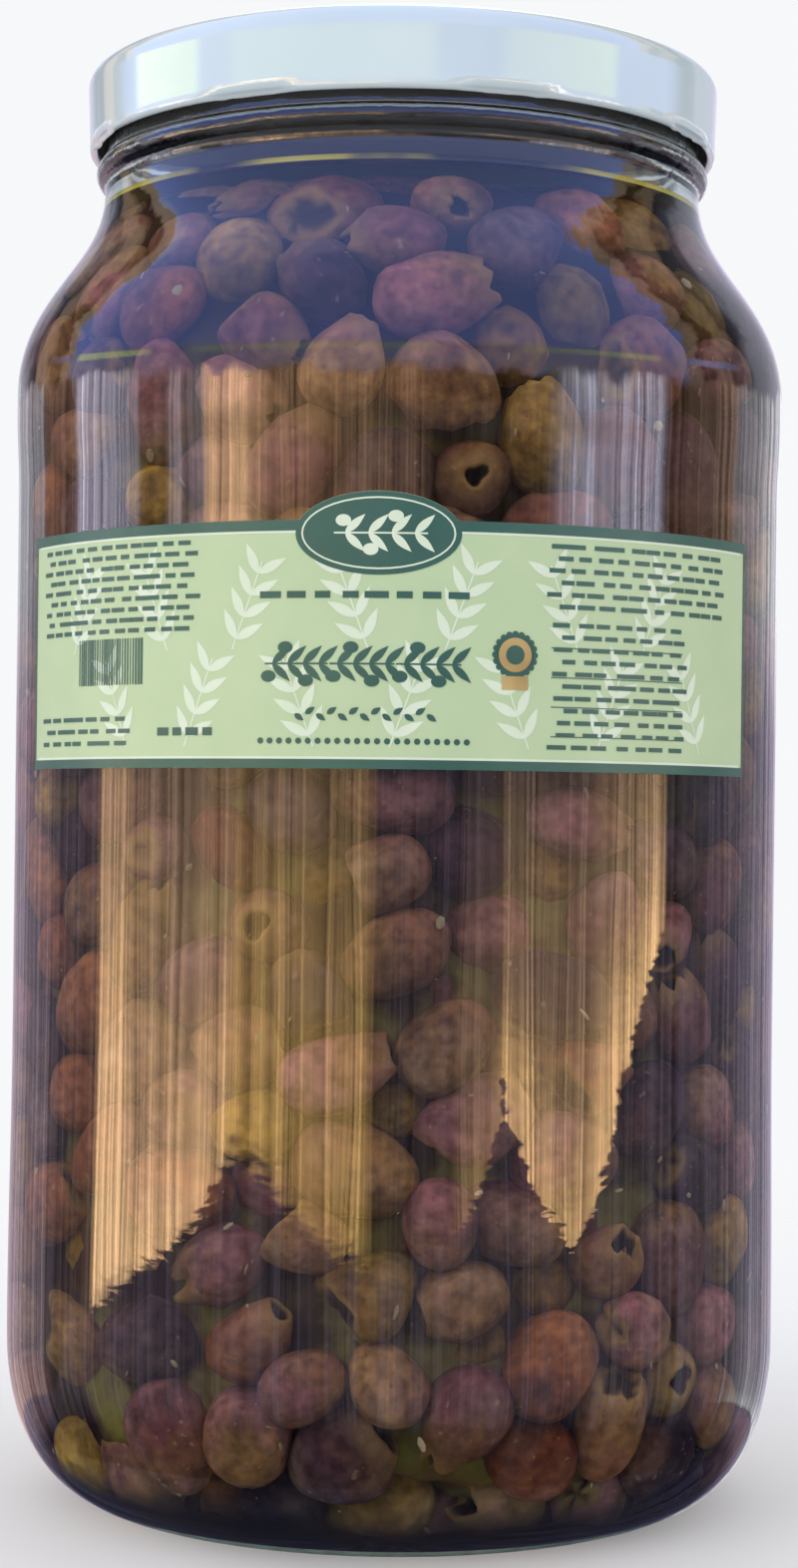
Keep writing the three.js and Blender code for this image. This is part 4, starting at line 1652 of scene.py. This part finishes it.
def mirrored_room(tree, way):
    """What mirror rays see: streaked walls with a ragged foot, a blue sky with brown patches over them, and
    a pale band at the lid's height."""
    across, depth, up = way["X"], way["Y"], way["Z"]
    turn = maths(tree, "ARCTAN2", across, times(tree, depth, -1.0))
    share = plus(tree, over(tree, turn, math.tau), 0.5)
    level = maths(tree, "SQRT", minus(tree, 1.0, times(tree, up, up)))
    slope = over(tree, up, maths(tree, "MAXIMUM", level, 0.01))
    side = times(tree, maths(tree, "ABSOLUTE", turn), 0.3)

    def grain(along, upright, detail):
        place = vector(tree, times(tree, turn, along), times(tree, slope, upright))
        values = [("Vector", place), ("Scale", 1.0), ("Detail", detail)]
        return add_node(tree, "ShaderNodeTexNoise", values).outputs["Fac"]

    def stray(along, upright, detail, most):
        return times(tree, minus(tree, grain(along, upright, detail), 0.5), most)

    def all_round(table):
        return ramp(tree, share, [(degrees / 360 + 0.5, value) for degrees, value in table])

    rise = plus(tree, plus(tree, slope, all_round(WALL_FOOT)), stray(11.0, 420.0, 4.0, 0.03))
    glow = ramp(tree, times(tree, rise, all_round(WALL_FADE)), GLOW)
    ground = ramp(tree, plus(tree, slope, 1.0), [(0.55, NEAR_GROUND), (0.75, FAR_GROUND)])
    low = blend(tree, glow, ground, all_round(LOW_WALLS))
    walls = blend(tree, ramp(tree, slope, [(0.03, 0), (0.08, 1)]), low, all_round(HIGH_WALLS))
    for width in STREAK_WIDTHS:
        streaks = ramp(tree, grain(width, 0.8, 4.0), [(0.36, 0.5), (0.64, 1.5)])
        walls = blend(tree, 1.0, walls, streaks, "MULTIPLY")

    sky = ramp(tree, slope, [(0.16, (1.2, 1.2, 2.0)), (0.3, (0.9, 1.2, 3.0)), (1.0, (0.8, 1.1, 2.6))])
    behind = ramp(tree, depth, [(0.3, 0), (0.42, 0.7), (0.5, 0.5), (0.8, 0.8)])
    sky = blend(tree, behind, sky, ramp(tree, up, [(0.4, (0.9, 0.75, 0.7)), (0.75, (3.0, 3.4, 2.8))]))
    past = plus(tree, minus(tree, depth, 0.24), times(tree, across, 0.14))
    past = plus(tree, past, stray(5.0, 6.0, 3.0, 0.25))
    clear_back = ramp(tree, side, [(0.82, 0), (0.9, 1)])
    patched = blend(tree, clear_back, ramp(tree, past, [(0.0, 0), (0.02, 1)]), (0, 0, 0))
    sky = blend(tree, patched, sky, ramp(tree, past, PATCHES))
    dip = times(tree, maths(tree, "COSINE", times(tree, turn, 0.5)), 0.034)
    at_lid = ramp(tree, plus(tree, slope, dip), [(0.214, 0), (0.226, 1), (0.250, 1), (0.262, 0)])
    at_lid = times(tree, at_lid, ramp(tree, side, [(0.61, 1), (0.67, 0)]))
    sky = blend(tree, at_lid, sky, all_round(LID_SKY))
    edge = plus(tree, slope, stray(7.0, 3.0, 3.0, 0.05))
    return blend(tree, ramp(tree, edge, [(0.150, 0), (0.158, 1)]), walls, sky)


world = bpy.data.worlds.new("studio")
world.use_nodes = True
sky = world.node_tree
way = split(sky, sky.nodes.new("ShaderNodeTexCoord").outputs["Generated"])
height = plus(sky, times(sky, way["Z"], 0.5), 0.5)
ray = sky.nodes.new("ShaderNodeLightPath").outputs
soft = ramp(sky, height, [(0.5, (0.82, 0.82, 0.82)), (1.0, (1.12, 1.11, 1.09))])
shade = add_node(sky, "ShaderNodeBackground", [("Color", soft)]).outputs[0]
for kind, seen in (
    ("Is Glossy Ray", mirrored_room(sky, way)),
    ("Is Transmission Ray", ramp(sky, height, [(0.46, (0.03, 0.035, 0.06)), (0.5, (0.50, 0.54, 0.62))])),
    ("Is Camera Ray", (0.93, 0.94, 0.95, 1)),
):
    view = add_node(sky, "ShaderNodeBackground", [("Color", seen)])
    values = [(0, ray[kind]), (1, shade), (2, view.outputs[0])]
    shade = add_node(sky, "ShaderNodeMixShader", values).outputs[0]
sky.links.new(shade, sky.nodes["World Output"].inputs["Surface"])
bpy.context.scene.world = world

VIEW_DISTANCE = 0.530
VIEW_HEIGHT = 0.1205
VIEW_TURN = math.radians(2.6)
VIEW_ROLL = 0.0117
camera_data = bpy.data.cameras.new("camera")
camera_data.lens = 66.7
camera_data.sensor_width = 36.0
camera_data.shift_x = 0.0028
camera_data.shift_y = 0.0267
camera = bpy.data.objects.new("camera", camera_data)
eye = Vector((VIEW_DISTANCE * math.sin(VIEW_TURN), -VIEW_DISTANCE * math.cos(VIEW_TURN), VIEW_HEIGHT))
level = Matrix.Rotation(VIEW_TURN, 4, "Z") @ Matrix.Rotation(math.pi / 2, 4, "X")
camera.matrix_world = Matrix.Translation(eye) @ level @ Matrix.Rotation(VIEW_ROLL, 4, "Z")
bpy.context.collection.objects.link(camera)
bpy.context.scene.camera = camera
bpy.context.scene.view_settings.view_transform = "Standard"
